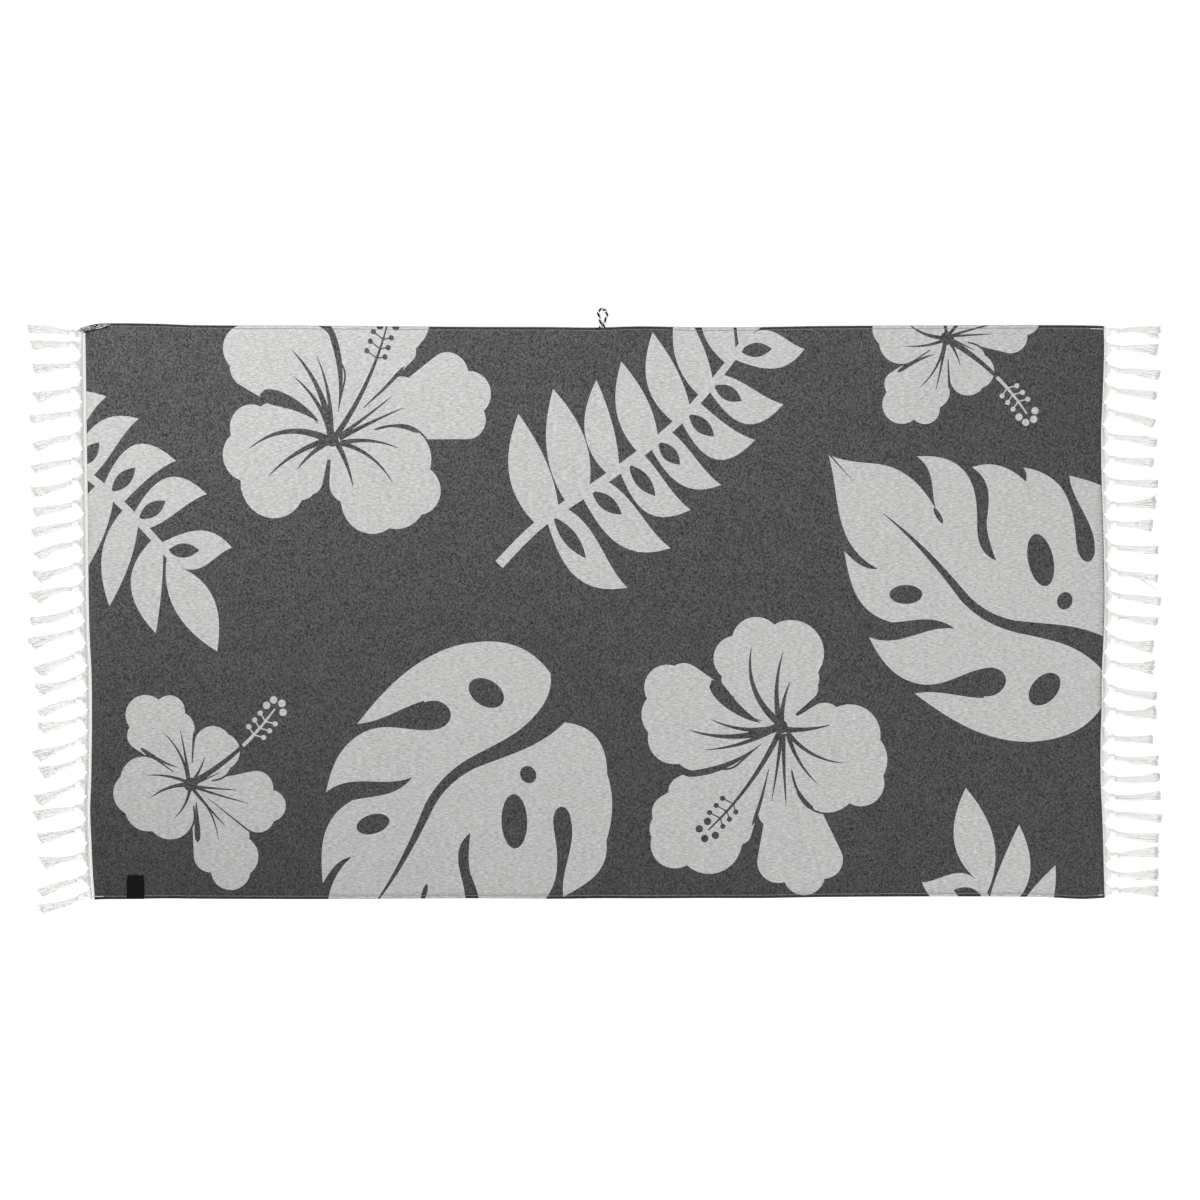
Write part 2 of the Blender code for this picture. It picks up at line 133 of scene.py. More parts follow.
# Two yarns that have come out of a brush, along and across the towel
Stray = namedtuple("Stray", "yarn along across")
STRAYS = rows_of(
    Stray,
    ("curl", 846, 56.5), ("curl", 851, 60.5), ("curl", 857, 63.6), ("curl", 861, 61.0),
    ("curl", 864, 56.5), ("strand", 852, 53.0), ("strand", 862, 47.5), ("strand", 872, 41.5),
    ("strand", 878, 36.5), ("strand", 882, 33.0),
)

# The hem's end, which has curled over at the corner on the loop's side
Curl = namedtuple("Curl", "along across width")
CURL = rows_of(
    Curl,
    (-815.5, 443.4, 1.2), (-811, 443.6, 4.5), (-804, 444.9, 6.6), (-797, 446.4, 7.0),
    (-788, 448.2, 6.8), (-775, 450.2, 5.0), (-764, 452.0, 1.2),
)

# The middle of the cord loop: along the length, and out from the hem
LOOP_ROUTE = (
    (6.1, 0.0), (6.9, 3.5), (6.4, 8.5), (4.9, 14.0), (3.4, 19.5), (3.0, 24.0), (5.1, 27.5),
    (9.0, 28.6), (13.2, 27.0), (15.9, 23.0), (16.6, 18.0), (14.5, 12.4), (12.2, 7.4),
    (11.4, 3.5), (12.0, 0.0),
)
# How far along the loop the dark ply comes to the top
DARK_ON_TOP = (8.2, 20.2, 29.8, 36.5, 43.8, 54.1, 64.0)
PLY_BULK = (0.88, 0.68)         # of the dark and the light ply, as shares of the cord

# Across the hem, from its folded edge in: heights of the upper and the lower face
HemStep = namedtuple("HemStep", "inward upper lower")
HEM_STEPS = rows_of(
    HemStep,
    (0.0, 1.5, 0.8), (0.5, 2.1, 0.2), (1.2, 2.4, 0.0), (3.4, 2.4, 0.0), (4.7, 1.9, 0.0),
    (6.0, 2.4, 0.0), (6.8, 2.2, 0.0), (7.3, 1.4, 0.0), (8.5, 1.2, 0.0),
)
STITCH_LINE = 4.7 * MM
# The outer strip of the hems gets painted shade: a darker ground for the shade of the rolled edge,
# partly also for its denser cloth.
FOLD_SHADE_WIDTH = 3.3 * MM           # the darker outer strip of the hems


def read_row(table, position, column):
    """A table's column at a position between its rows, on a smooth curve."""
    last = len(table) - 1
    if position <= table[0][0]:
        return getattr(table[0], column)
    if position >= table[last][0]:
        return getattr(table[last], column)
    row = 0
    while table[row + 1][0] < position:
        row += 1
    start, end = table[row], table[row + 1]
    before, after = table[max(row - 1, 0)], table[min(row + 2, last)]
    share = (position - start[0]) / (end[0] - start[0])
    value_start = getattr(start, column)
    value_end = getattr(end, column)
    rise_start = (value_end - getattr(before, column)) / (end[0] - before[0])
    rise_end = (getattr(after, column) - value_start) / (after[0] - start[0])
    span = end[0] - start[0]
    return (
        value_start * (2 * share ** 3 - 3 * share ** 2 + 1)
        + value_end * (3 * share ** 2 - 2 * share ** 3)
        + rise_start * span * (share ** 3 - 2 * share ** 2 + share)
        + rise_end * span * (share ** 3 - share ** 2)
    )


def read_straight(table, position, column):
    """A table's column at a position between its rows, on straight lines."""
    if position <= table[0][0]:
        return getattr(table[0], column)
    for start, end in zip(table, table[1:]):
        if position <= end[0]:
            share = (position - start[0]) / (end[0] - start[0])
            return getattr(start, column) * (1 - share) + getattr(end, column) * share
    return getattr(table[-1], column)


def lower_side(x):
    """Where the long side away from the loop lies, across the towel."""
    return -CLOTH_WIDTH / 2 + MM * read_row(LONG_SIDES, x / MM, "lower")


def upper_side(x):
    """Where the long side with the loop lies, across the towel."""
    return CLOTH_WIDTH / 2 + MM * read_row(LONG_SIDES, x / MM, "upper")


def left_end(y):
    """Where the cloth ends at -X."""
    return -CLOTH_LENGTH / 2 - LEFT_SHOWN + MM * read_row(ENDS, y / MM, "left")


def right_end(y):
    """Where the cloth ends at +X."""
    return CLOTH_LENGTH / 2 + RIGHT_SHOWN + MM * read_row(ENDS, y / MM, "right")


def cloth_x(share, y):
    """Along the towel, at a share of the way from the left end to the right one."""
    return left_end(y) * (1 - share) + right_end(y) * share


def from_edge(x, y):
    """How far a point of the cloth is from the nearer long side."""
    share = (x - left_end(y)) / (right_end(y) - left_end(y))
    straight = CLOTH_LENGTH * (share - 0.5)
    return min(y - lower_side(straight), upper_side(straight) - y)


def lift_of_cloth(x, y, unevenness):
    """How far the cloth stands off the floor; it lies level along all its edges."""
    level_rim, fade_over = 45 * MM, 60 * MM
    inside = min(from_edge(x, y), x - left_end(y), right_end(y) - x)
    fade = min(max((inside - level_rim) / fade_over, 0.0), 1.0)
    swell = noise.noise(Vector((x * 6.0, y * 7.5, 3.7)))
    ripple = noise.noise(Vector((x * 23.0, y * 17.0, 9.1)))
    return unevenness * fade * max(0.5 + swell + 0.45 * ripple, 0.0)


def cloth_top(x, y, unevenness):
    """Height of the cloth's upper face."""
    step = read_straight(HEM_STEPS, from_edge(x, y) / MM, "upper")
    return step * MM + lift_of_cloth(x, y, unevenness)


# ---- Building meshes ----
def way_on(points, index):
    """From the point before one to the point after it, within the path."""
    return points[min(index + 1, len(points) - 1)] - points[max(index - 1, 0)]


def new_object(name, data):
    """An object in the scene."""
    made = bpy.data.objects.new(name, data)
    bpy.context.scene.collection.objects.link(made)
    return made


class Shape:
    """The points and faces of one piece while it is built, with a finish for each face
    and, for yarns, a map: round the yarn from 0 to 1, and along it in millimetres."""

    def __init__(self):
        self.points = []
        self.faces = []
        self.finishes = []
        self.maps = []

    def face(self, corners, finish=0, places=None):
        """One face."""
        self.faces.append(corners)
        self.finishes.append(finish)
        self.maps.append(places or [(0.0, 0.0)] * len(corners))

    def rings(self, rings, finish=0, spacing=1.0, start=0.0):
        """A closed body through rings of equally many points."""
        first, sides = len(self.points), len(rings[0])
        for ring in rings:
            self.points.extend(ring)
        for row in range(len(rings) - 1):
            near, far = first + row * sides, first + (row + 1) * sides
            along, onward = start + row * spacing, start + (row + 1) * spacing
            for side in range(sides):
                after = (side + 1) % sides
                turned, further = side / sides, (side + 1) / sides
                self.face(
                    (near + side, near + after, far + after, far + side), finish,
                    [(turned, along), (further, along), (further, onward), (turned, onward)],
                )
        self.face(tuple(first + side for side in reversed(range(sides))), finish)
        last = first + (len(rings) - 1) * sides
        self.face(tuple(last + side for side in range(sides)), finish)

    def yarn(self, path, thickness, sides=3, finish=0, start=0.0, thin_end=1.0):
        """A yarn along a path."""
        direction = (path[1] - path[0]).normalized()
        side = direction.cross(UP)
        if side.length < 0.1:
            side = Vector((1, 0, 0))
        side.normalize()
        rings = []
        last = len(path) - 1
        for index, point in enumerate(path):
            direction = way_on(path, index).normalized()
            side = (side - direction * side.dot(direction)).normalized()
            other = direction.cross(side)
            radius = thickness / 2
            if index in (0, last):
                radius *= thin_end
            ring = []
            for corner in range(sides):
                angle = 2 * math.pi * corner / sides + 0.5
                ring.append(point + (side * math.cos(angle) + other * math.sin(angle)) * radius)
            rings.append(ring)
        length = sum((two - one).length for one, two in zip(path, path[1:]))
        self.rings(rings, finish, length / last / MM, start)

    def piece(self, name, materials, slot, replaces=()):
        """The finished piece, riding on the towel."""
        mesh = bpy.data.meshes.new(name)
        mesh.from_pydata([tuple(point) for point in self.points], [], self.faces)
        mesh.polygons.foreach_set("material_index", self.finishes)
        mesh.polygons.foreach_set("use_smooth", [True] * len(self.faces))
        layer = mesh.uv_layers.new(name="Yarn")
        flat = [value for places in self.maps for place in places for value in place]
        layer.data.foreach_set("uv", flat)
        for material in materials:
            mesh.materials.append(material)
        mesh.update()
        piece = new_object(name, mesh)
        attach(piece, "root")
        if replaces:
            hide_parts(*replaces)
        return piece


def smooth_path(points, steps):
    """Points at even steps along a smooth curve through the given ones, and its length."""
    fine = []
    last = len(points) - 1
    for index in range(last):
        before = points[max(index - 1, 0)]
        start, end = points[index], points[index + 1]
        after = points[min(index + 2, last)]
        for part in range(10):
            share = part / 10
            fine.append(
                0.5 * (2 * start + (end - before) * share
                       + (2 * before - 5 * start + 4 * end - after) * share ** 2
                       + (3 * start - before - 3 * end + after) * share ** 3)
            )
    fine.append(points[-1])
    reached = [0.0]
    for one, two in zip(fine, fine[1:]):
        reached.append(reached[-1] + (two - one).length)
    path = []
    piece = 0
    for step in range(steps + 1):
        wanted = reached[-1] * step / steps
        while piece < len(fine) - 2 and reached[piece + 1] < wanted:
            piece += 1
        span = reached[piece + 1] - reached[piece]
        path.append(fine[piece].lerp(fine[piece + 1], (wanted - reached[piece]) / span))
    return path, reached[-1]


def point_along(path, share):
    """A point at a share of the way along evenly stepped points."""
    place = min(max(share, 0.0), 1.0) * (len(path) - 1)
    index = min(int(place), len(path) - 2)
    return path[index].lerp(path[index + 1], place - index)


# ---- Materials ----
class Finish:
    """A material while its nodes are made; an input takes a value or another's output."""

    def __init__(self, name, roughness, sheen, sheen_roughness, specular):
        self.material = bpy.data.materials.new(name)
        self.material.use_nodes = True
        self.tree = self.material.node_tree
        self.shader = self.tree.nodes["Principled BSDF"]
        self.shader.inputs["Roughness"].default_value = roughness
        self.shader.inputs["Sheen Weight"].default_value = sheen
        self.shader.inputs["Sheen Roughness"].default_value = sheen_roughness
        self.shader.inputs["Specular IOR Level"].default_value = specular
        self.place = self.add("TexCoord").outputs["Object"]

    def add(self, kind, inputs=None, **settings):
        """A node with its settings."""
        node = self.tree.nodes.new("ShaderNode" + kind)
        for name, value in settings.items():
            setattr(node, name, value)
        for name, value in (inputs or {}).items():
            if isinstance(value, bpy.types.NodeSocket):
                self.tree.links.new(value, node.inputs[name])
            else:
                node.inputs[name].default_value = value
        return node

    def split(self, place):
        """The X and Y of a place."""
        parts = self.add("SeparateXYZ", {"Vector": place})
        return parts.outputs["X"], parts.outputs["Y"]

    def calculate(self, operation, first, second=0.0, third=0.0):
        """One sum on values."""
        values = {0: first, 1: second, 2: third}
        return self.add("Math", values, operation=operation).outputs[0]

    def product(self, first, *others):
        """Values multiplied."""
        for other in others:
            first = self.calculate("MULTIPLY", first, other)
        return first

    def wave(self, value, turn):
        """A sine of a value times a turn."""
        return self.calculate("SINE", self.product(value, turn))

    def remap(self, value, low, high, to_low, to_high):
        """A value moved from one range to another, and held in it."""
        ranges = {"From Min": low, "From Max": high, "To Min": to_low, "To Max": to_high}
        return self.add("MapRange", {"Value": value, **ranges}).outputs["Result"]

    def texture(self, kind, scale, **inputs):
        """A texture in the object's own coordinates, stretched."""
        place = self.add("Mapping", {"Vector": self.place, "Scale": scale}).outputs["Vector"]
        return self.add(kind, {"Vector": place, "Scale": 1.0, **inputs})

    def speckle(self, scale, detail, low, high):
        """Soft noise between two values."""
        texture = self.texture("TexNoise", scale, Detail=detail)
        return self.remap(texture.outputs["Fac"], 0.3, 0.7, low, high)

    def cells(self, scale, low, high):
        """A different steady value in each small cell."""
        texture = self.texture("TexVoronoi", scale)
        parts = self.add("SeparateColor", {"Color": texture.outputs["Color"]})
        return self.remap(parts.outputs["Red"], 0, 1, low, high)

    def over_the_towel(self, along, across, twist):
        """Painted light: 1 in the towel's middle, and evenly more or less by these steps a metre,
        for light and sheen that fall off across the towel.
        """
        x, y = self.split(self.place)
        level = self.calculate("MULTIPLY_ADD", x, along, 1.0)
        step = self.calculate("MULTIPLY_ADD", x, twist, across)
        return self.calculate("MULTIPLY_ADD", y, step, level)

    def weave(self, pitch_x, pitch_y):
        """Threads going over and under one another."""
        x, y = self.split(self.place)
        return self.product(self.wave(x, math.pi / pitch_x), self.wave(y, math.pi / pitch_y))

    def done(self, colour, strength, relief=None, depth=0.0):
        """The material, its colour made lighter or darker by a value, with its relief."""
        tint = self.add("VectorMath", {0: tuple(colour), "Scale": strength}, operation="SCALE")
        self.tree.links.new(tint.outputs["Vector"], self.shader.inputs["Base Color"])
        if relief:
            bump = self.add("Bump", {"Height": relief, "Distance": depth, "Strength": 1.0})
            self.tree.links.new(bump.outputs["Normal"], self.shader.inputs["Normal"])
        return self.material


def ground_material(name, colour):
    """The dark ground: fine dark and pale yarns side by side, which look like pepper, under
    painted light and sheen that fall off across the towel.
    """
    finish = Finish(name, 0.92, 0.12, 0.6, 0.15)
    pepper = finish.calculate("ADD", finish.cells((600, 500, 200), 0.36, 1.58),
                        finish.speckle((320, 260, 100), 1.0, -0.30, 0.30))
    cloud = finish.speckle((22, 28, 10), 2.0, 0.94, 1.06)
    # Painted light and sheen: lightest at the upper left (-X, +Y), darkest at the lower left (-X,
    # -Y).
    light = finish.over_the_towel(-0.11, 0.56, -0.58)
    return finish.done(colour, finish.product(pepper, cloud, light),
                       finish.weave(1.1 * MM, 1.3 * MM), 0.25 * MM)


def motif_material(settings):
    """The light motifs: pale weft lying over the dark warp in short bars, under painted light and
    sheen that fall off across the towel.
    """
    finish = Finish("pale_motif", 0.88, 0.15, 0.5, 0.2)
    bars = finish.speckle((130, 560, 60), 1.0, 0.82, 1.18)
    dots = finish.cells((300, 600, 100), 0.88, 1.12)
    # Painted light and sheen: lightest at the upper left (-X, +Y), darkest at the lower left (-X,
    # -Y).
    light = finish.over_the_towel(-0.042, 0.27, -0.35)
    return finish.done(settings.motif, finish.product(bars, dots, light),
                       finish.weave(3.0 * MM, 0.8 * MM), 0.22 * MM)


def yarn_material(name, colour, pitch, sheen=0.2):
    """Spun yarn: fine slanting plies round it, and a little unevenness in tone."""
    finish = Finish(name, 0.9, sheen, 0.5, 0.05 + 0.75 * sheen)
    turned, along = finish.split(finish.add("UVMap", uv_map="Yarn").outputs["UV"])
    slant = finish.calculate("ADD", finish.calculate("DIVIDE", along, pitch), turned)
    plies = finish.wave(slant, 4 * math.pi)
    uneven = finish.speckle((160, 900, 300), 1.0, 0.95, 1.04)
    tone = finish.calculate("MULTIPLY_ADD", plies, 0.025, uneven)
    return finish.done(colour, tone, plies, 0.12 * MM)


def band_material(settings):
    """The woven end band: warp yarns held by a few lines of weft."""
    finish = Finish("end_band", 0.9, 0.15, 0.5, 0.2)
    weave = finish.weave(1.4 * MM, 1.3 * MM)
    tone = finish.product(finish.speckle((900, 420, 300), 1.0, 0.93, 1.05),
                          finish.remap(weave, -1, 1, 0.93, 1.03))
    return finish.done(settings.band, tone, weave, 0.3 * MM)


def label_material(settings):
    """Black woven tape with a fine twill."""
    finish = Finish("label_tape", 0.8, 0.0, 0.5, 0.12)
    across_ribs = finish.calculate("ADD", *finish.split(finish.place))
    ribs = finish.wave(across_ribs, 2 * math.pi / (0.9 * MM))
    uneven = finish.speckle((500, 700, 300), 2.0, 0.7, 1.5)
    tone = finish.calculate("MULTIPLY_ADD", ribs, 0.15, uneven)
    return finish.done(settings.tape, tone, ribs, 0.10 * MM)


def floor_material(settings):
    """Plain pale floor."""
    finish = Finish("pale_floor", 0.9, 0.0, 0.5, 0.1)
    return finish.done(settings.floor, finish.speckle((1.5, 1.5, 1.5), 1.0, 0.995, 1.005))


# ---- Motifs ----
# Hibiscus flowers, split leaves and fern fronds, each drawn from a few lobes, lines,
# leaflets or sweeps.  Turns are in degrees, counterclockwise from +X.
# The third finish is the dark ground with painted shade along the rolled edges of the hems.
DARK, LIGHT, HEM_FOLD_SHADE = 0, 1, 2

# A petal is a few round lobes that grow from the middle of the flower
Lobe = namedtuple("Lobe", "turn reach width")
# A dark line from near the middle out; bow: how far it bends to its left.  A vein ends in a
# point, and a gap between petals starts in one
Line = namedtuple("Line", "from_turn start turn reach bow width")
# left, right: how far its dots stand out.  first_dot, dot_step: turns of the four at its end
Stamen = namedtuple("Stamen", Line._fields + ("left", "right", "first_dot", "dot_step"))
Flower = namedtuple("Flower", "petals gaps veins stamen heart_down heart_wide heart_high")

WIDE_PETALS = {
    "lower left": rows_of(
        Lobe,
        (214, 208, 50), (218, 249, 59), (222, 268, 56), (228, 287, 76), (238, 264, 103),
        (245, 190, 56), (249, 197, 36),
    ),
    "lower": rows_of(Lobe, (-96, 158, 42), (-91, 246, 66), (-81, 268, 66), (-72, 250, 60)),
    "left": rows_of(
        Lobe,
        (155, 197, 58), (161, 225, 72), (174, 220, 83), (186, 210, 83), (191, 177, 90),
        (202, 125, 60),
    ),
    "right": rows_of(
        Lobe,
        (-50, 162, 96), (-35, 191, 74), (-24, 179, 101), (-7, 158, 97), (8, 98, 56),
    ),
    "upper": rows_of(
        Lobe,
        (58, 93, 42), (64, 108, 48), (82, 169, 104), (106, 178, 78), (123, 164, 72),
        (133, 125, 50), (148, 86, 34),
    ),
}
WIDE_GAPS = rows_of(
    Line,
    (169, 33, 146, 131, 8, 31), (222, 42, 206, 172, 11, 14), (-106, 72, -106, 162, 2, 7),
    (-76, 68, -68, 140, -8, 7),
)
WIDE_VEINS = rows_of(
    Line,
    (120, 8, 110, 134, 18, 11), (104, 10, 88, 118, 7, 9), (83, 10, 78, 73, 3, 8),
    (-36, 8, 2, 78, -3, 9), (-41, 14, -30, 115, -11, 7), (-45, 16, -57, 108, -7, 7),
    (-70, 12, -86, 126, -1, 7), (-84, 12, -97, 118, 1, 6), (195, 6, 174, 110, 9, 9),
    (196, 8, 182, 145, 12, 12), (200, 10, 197, 125, 7, 8),
)
WIDE_STAMEN = Stamen(256, 10, 235, 199, 9, 9, 12, 18, -130, 77)

ROUND_PETALS = {
    "upper": rows_of(Lobe, (104, 118, 56), (106, 145, 48), (123, 162, 63), (135, 132, 46)),
    "lower": rows_of(Lobe, (-74, 143, 54), (-65, 180, 62), (-57, 168, 66), (-50, 130, 50)),
    "right": rows_of(Lobe, (-25, 143, 52), (-15, 154, 50), (-3, 130, 54), (-12, 100, 54)),
    "left": rows_of(Lobe, (174, 111, 72), (189, 123, 70), (209, 113, 74), (237, 96, 74)),
    "small": rows_of(Lobe, (44, 78, 54), (47, 100, 58), (61, 101, 58)),
}
ROUND_GAPS = rows_of(
    Line,
    (-72, 28, -83, 92, 0, 12), (128, 34, 144, 98, 3, 8), (87, 36, 86, 84, 0, 5),
)
ROUND_VEINS = rows_of(
    Line,
    (129, 6, 118, 93, -8, 5), (115, 6, 101, 87, -1, 5), (146, 6, 168, 70, -4, 5),
    (180, 4, 198, 66, -5, 7), (259, 4, 244, 59, 5, 5), (60, 5, 63, 49, -2, 5),
    (14, 10, 22, 49, 0, 3), (-30, 7, -7, 74, 0, 4), (-36, 7, -18, 95, -1, 4),
    (-63, 8, -50, 87, -1, 5), (-52, 38, -63, 96, 3, 3),
)
ROUND_STAMEN = Stamen(45, 4, 42, 178, -10, 10, 14, 15, -77, 60)

WIDE_FLOWER = Flower(WIDE_PETALS, WIDE_GAPS, WIDE_VEINS, WIDE_STAMEN, 22, 38, 53)
ROUND_FLOWER = Flower(ROUND_PETALS, ROUND_GAPS, ROUND_VEINS, ROUND_STAMEN, 0, 34, 34)
PETAL_GAP = 3

# A leaflet grows from the stem.  at: along the stem.  root: the length of stem that it
# holds.  back, front: how far its sides bow out, towards the stem's foot and its end.
# slit, slit_turn: length of the dark almond in it, and its turn from the leaflet's own
Leaflet = namedtuple("Leaflet", "at root turn length back front slit slit_turn")

STEM = ((-481, -336), (-414, -270), (-293, -187), (-196, -108), (-115, -13), (-80, 43))
STEM_WIDTH = (16, 10.5)
FROND = rows_of(
    Leaflet,
    (107, 42, 106, 170, 32, 11, 0, 0), (164, 40, 103, 175, 23, 21, 0, 0),
    (233, 19, 101, 149, 31, 7, 0, 0), (301, 37, 108, 141, 24, 11, 0, 0),
    (373, 32, 110, 141, 30, 8, 0, 0), (429, 30, 108, 148, 26, 8, 0, 0),
    (491, 22, 96, 142, 40, 3, 0, 0), (524, 23, 68, 162, 31, 31, 0, 0),
    (120, 33, -46, 164, 44, 12, 83, -6), (192, 44, -38, 155, 41, 6, 60, 0),
    (264, 44, -39, 122, 42, -1, 64, -11), (322, 40, -37, 122, 33, 1, 49, -9),
    (386, 40, -24, 114, 51, -6, 53, -17), (446, 30, -18, 115, 47, 3, 50, -11),
    (513, 41, -1, 102, 27, 21, 50, 5),
)

# The split leaf is two halves with a dark midrib between them.  Each half is drawn from
# sweep to sweep, counterclockwise: where the sweep ends, and how far it bows out at a third
# and at two thirds of its way
Sweep = namedtuple("Sweep", "end x y near far")
LEAF_LOWER = rows_of(
    Sweep,
    ("leaf tip", -340, 369, 0, 0), ("small slit", -262, 189, 7, 53),
    ("second tip", -315, 217, -13, -6), ("second crown", -240, 105, 20, 40),
    ("side slit", -141, 95, -5, -21), ("third tip", -276, 82, 12, -25),
    ("third crown", -189, 7, 17, 26), ("round slit", -80, 34, 12, -10),
    ("round slit", -96, -14, 0, 0), ("last tip", -204, -7, -2, 10),
    ("last crown", -28, -83, 16, 26), ("heart", 103, -3, 29, 39), ("stalk", 65, 53, 12, 9),
    ("midrib", -48, 90, 12, 3), ("midrib", -133, 141, -10, -10), ("midrib end", -263, 283, 7, 10),
)
LEAF_UPPER = rows_of(
    Sweep,
    ("midrib end", -263, 283, 0, 0), ("midrib", -128, 157, -10, -7), ("midrib", -47, 108, 12, 11),
    ("stalk", 106, 76, -4, -18), ("heart", 150, 171, 33, 28), ("heart", 124, 270, 12, 10),
    ("last tip", 39, 336, 35, 15), ("round slit", 79, 223, 10, -14), ("round slit", 50, 228, 0, 0),
    ("fourth crown", -34, 349, 30, 52), ("fourth tip", -29, 326, -5, -3),
    ("third tip", -114, 349, 16, 20), ("long slit", -91, 263, -27, -12),
    ("long slit", -76, 202, 5, 2), ("long slit", -106, 270, -23, -11),
    ("second tip", -201, 366, 45, 54), ("short slit", -162, 266, -26, 11),
    ("first crown", -260, 354, 17, 28), ("leaf tip", -340, 369, -2, -7),
)
# Dark holes, and the round ends of three slits
Hole = namedtuple("Hole", "x y half_length half_width turn")
LEAF_HOLES = rows_of(
    Hole,
    (0, 0, 30, 20, 47), (-218, 149, 26, 15, 0), (-6, 203, 42, 20, -78), (32, 139, 14, 12, 70),
    (-87, 11, 27, 22, 20), (-167, 273, 14, 4, -60), (65, 224, 24, 14, -80),
)

# Where a motif lies: its middle, how far it is turned, its size, and 1, or -1 if mirrored
Place = namedtuple("Place", "kind x y turn size mirror")
MOTIFS = rows_of(
    Place,
    ("wide flower", 290, -180, 0, 1, 1), ("wide flower", -416, 272, 297, 1.02, -1),
    ("round flower", -638, -271, 0, 1, 1), ("round flower", 552, 431, -1.5, 0.97, -1),
    ("leaf", 705, -121, 0, 1, 1), ("leaf", -173, -127, 14.7, 1.02, -1),
    ("frond", 328, 411, 0, 1, 1), ("frond", -573, 105, 4.5, 1, -1),
    ("frond", 511, -428, 167, 1, -1),
)
# The weft lies a little less dense than the warp, which draws all motifs out across the towel
WEAVE_STRETCH = 1.05


def polar(turn, reach):
    """A point at a turn and distance from the middle."""
    return Vector((math.cos(math.radians(turn)), math.sin(math.radians(turn)))) * reach


def placed(shapes, place):
    """Shapes turned, sized, mirrored and moved to their place on the towel."""
    cos, sin = polar(place.turn, place.size)
    return [
        ([(place.x + x * cos - y * place.mirror * sin / WEAVE_STRETCH,
           place.y + x * sin * WEAVE_STRETCH + y * place.mirror * cos)
          for x, y in outline], colour)
        for outline, colour in shapes
    ]


def swept(axis, half_widths):
    """An outline at a half width on either side of an axis."""
    left, right = [], []
    for index, (point, half) in enumerate(zip(axis, half_widths)):
        ahead = way_on(axis, index).normalized()
        side = Vector((-ahead.y, ahead.x)) * half
        left.append(point + side)
        right.append(point - side)
    return right + left[::-1]


def bowed(start, end, near, far, steps=12):
    """A curve that bows out to the right at a third and at two thirds of its way."""
    ahead = end - start
    right = Vector((ahead.y, -ahead.x)).normalized()
    first, second = start + ahead / 3 + right * near, start + ahead * 2 / 3 + right * far
    points = []
    for share in shares(steps):
        rest = 1 - share
        points.append(start * rest ** 3 + first * 3 * rest ** 2 * share
                      + second * 3 * rest * share ** 2 + end * share ** 3)
    return points


def ellipse(x, y, half_length, half_width, turn=0.0, sides=24):
    """An ellipse about a point."""
    along, across = polar(turn, half_length), polar(turn + 90, half_width)
    middle = Vector((x, y))
    return [
        middle + along * math.cos(2 * math.pi * side / sides)
        + across * math.sin(2 * math.pi * side / sides)
        for side in range(sides)
    ]


def lobe_outline(lobe, grow):
    """From the middle of the flower out, and round the lobe's end."""
    radius = lobe.width / 2 + grow
    middle = lobe.reach - lobe.width / 2
    flare = 90 + math.degrees(math.asin(min(radius / middle, 1.0)))
    centre = polar(lobe.turn, middle)
    return [Vector((0.0, 0.0))] + [
        centre + polar(lobe.turn - flare + 2 * flare * step / 18, radius) for step in range(19)
    ]


def line_axis(line, steps=14):
    """The middle of a line in a flower."""
    out = -line.bow * 4 / 3         # a curve comes three quarters as far out as it is drawn
    start, end = polar(line.from_turn, line.start), polar(line.turn, line.reach)
    return bowed(start, end, out, out, steps)


def line_outline(line, widens):
    """A line that narrows to a point, or one that widens to a round end."""
    if widens:
        halves = [share ** 0.8 * (1 - share ** 6) ** 0.5 for share in shares(14)]
    else:
        halves = [(1 - share) ** 0.8 for share in shares(14)]
    finest = 0.3
    return swept(line_axis(line), [line.width / 2 * half + finest for half in halves])


def flower(kind, tip_colour):
    """Petals over one another with a dark gap, then veins and the stamen with its dots."""
    eye, side_dot, end_dot, end_ring = 11, 4.2, 6, 14
    shapes = []
    for lobes in kind.petals.values():
        shapes += [(lobe_outline(lobe, PETAL_GAP), DARK) for lobe in lobes]
        shapes += [(lobe_outline(lobe, 0.0), LIGHT) for lobe in lobes]
    shapes.append((ellipse(0, -kind.heart_down, kind.heart_wide, kind.heart_high), LIGHT))
    shapes += [(line_outline(gap, True), DARK) for gap in kind.gaps]
    shapes += [(line_outline(vein, False), DARK) for vein in kind.veins]
    shapes.append((ellipse(0, 0, eye, eye), DARK))
    stamen = kind.stamen
    axis = line_axis(stamen, 16)
    widths = [stamen.width / 2 * (1 - 0.75 * share) for share in shares(16)]
    shapes.append((swept(axis[:10], widths[:10]), DARK))
    shapes.append((swept(axis[9:], widths[9:]), tip_colour))
    ahead = (axis[-1] - axis[-2]).normalized()
    left = Vector((-ahead.y, ahead.x))
    for number in range(6):
        root = point_along(axis, 0.70 + 0.08 * (number // 2))
        dot = root + left * (stamen.left if number % 2 else -stamen.right) + ahead * 6
        shapes.append((swept([root, dot], [1.1, 0.9]), tip_colour))
        shapes.append((ellipse(dot.x, dot.y, side_dot, side_dot, 0, 12), tip_colour))
    heading = math.degrees(math.atan2(ahead.y, ahead.x))
    for number in range(4):
        turn = heading + stamen.first_dot + stamen.dot_step * number
        dot = axis[-1] + polar(turn, end_ring)
        shapes.append((ellipse(dot.x, dot.y, end_dot, end_dot, 0, 14), tip_colour))
    return shapes


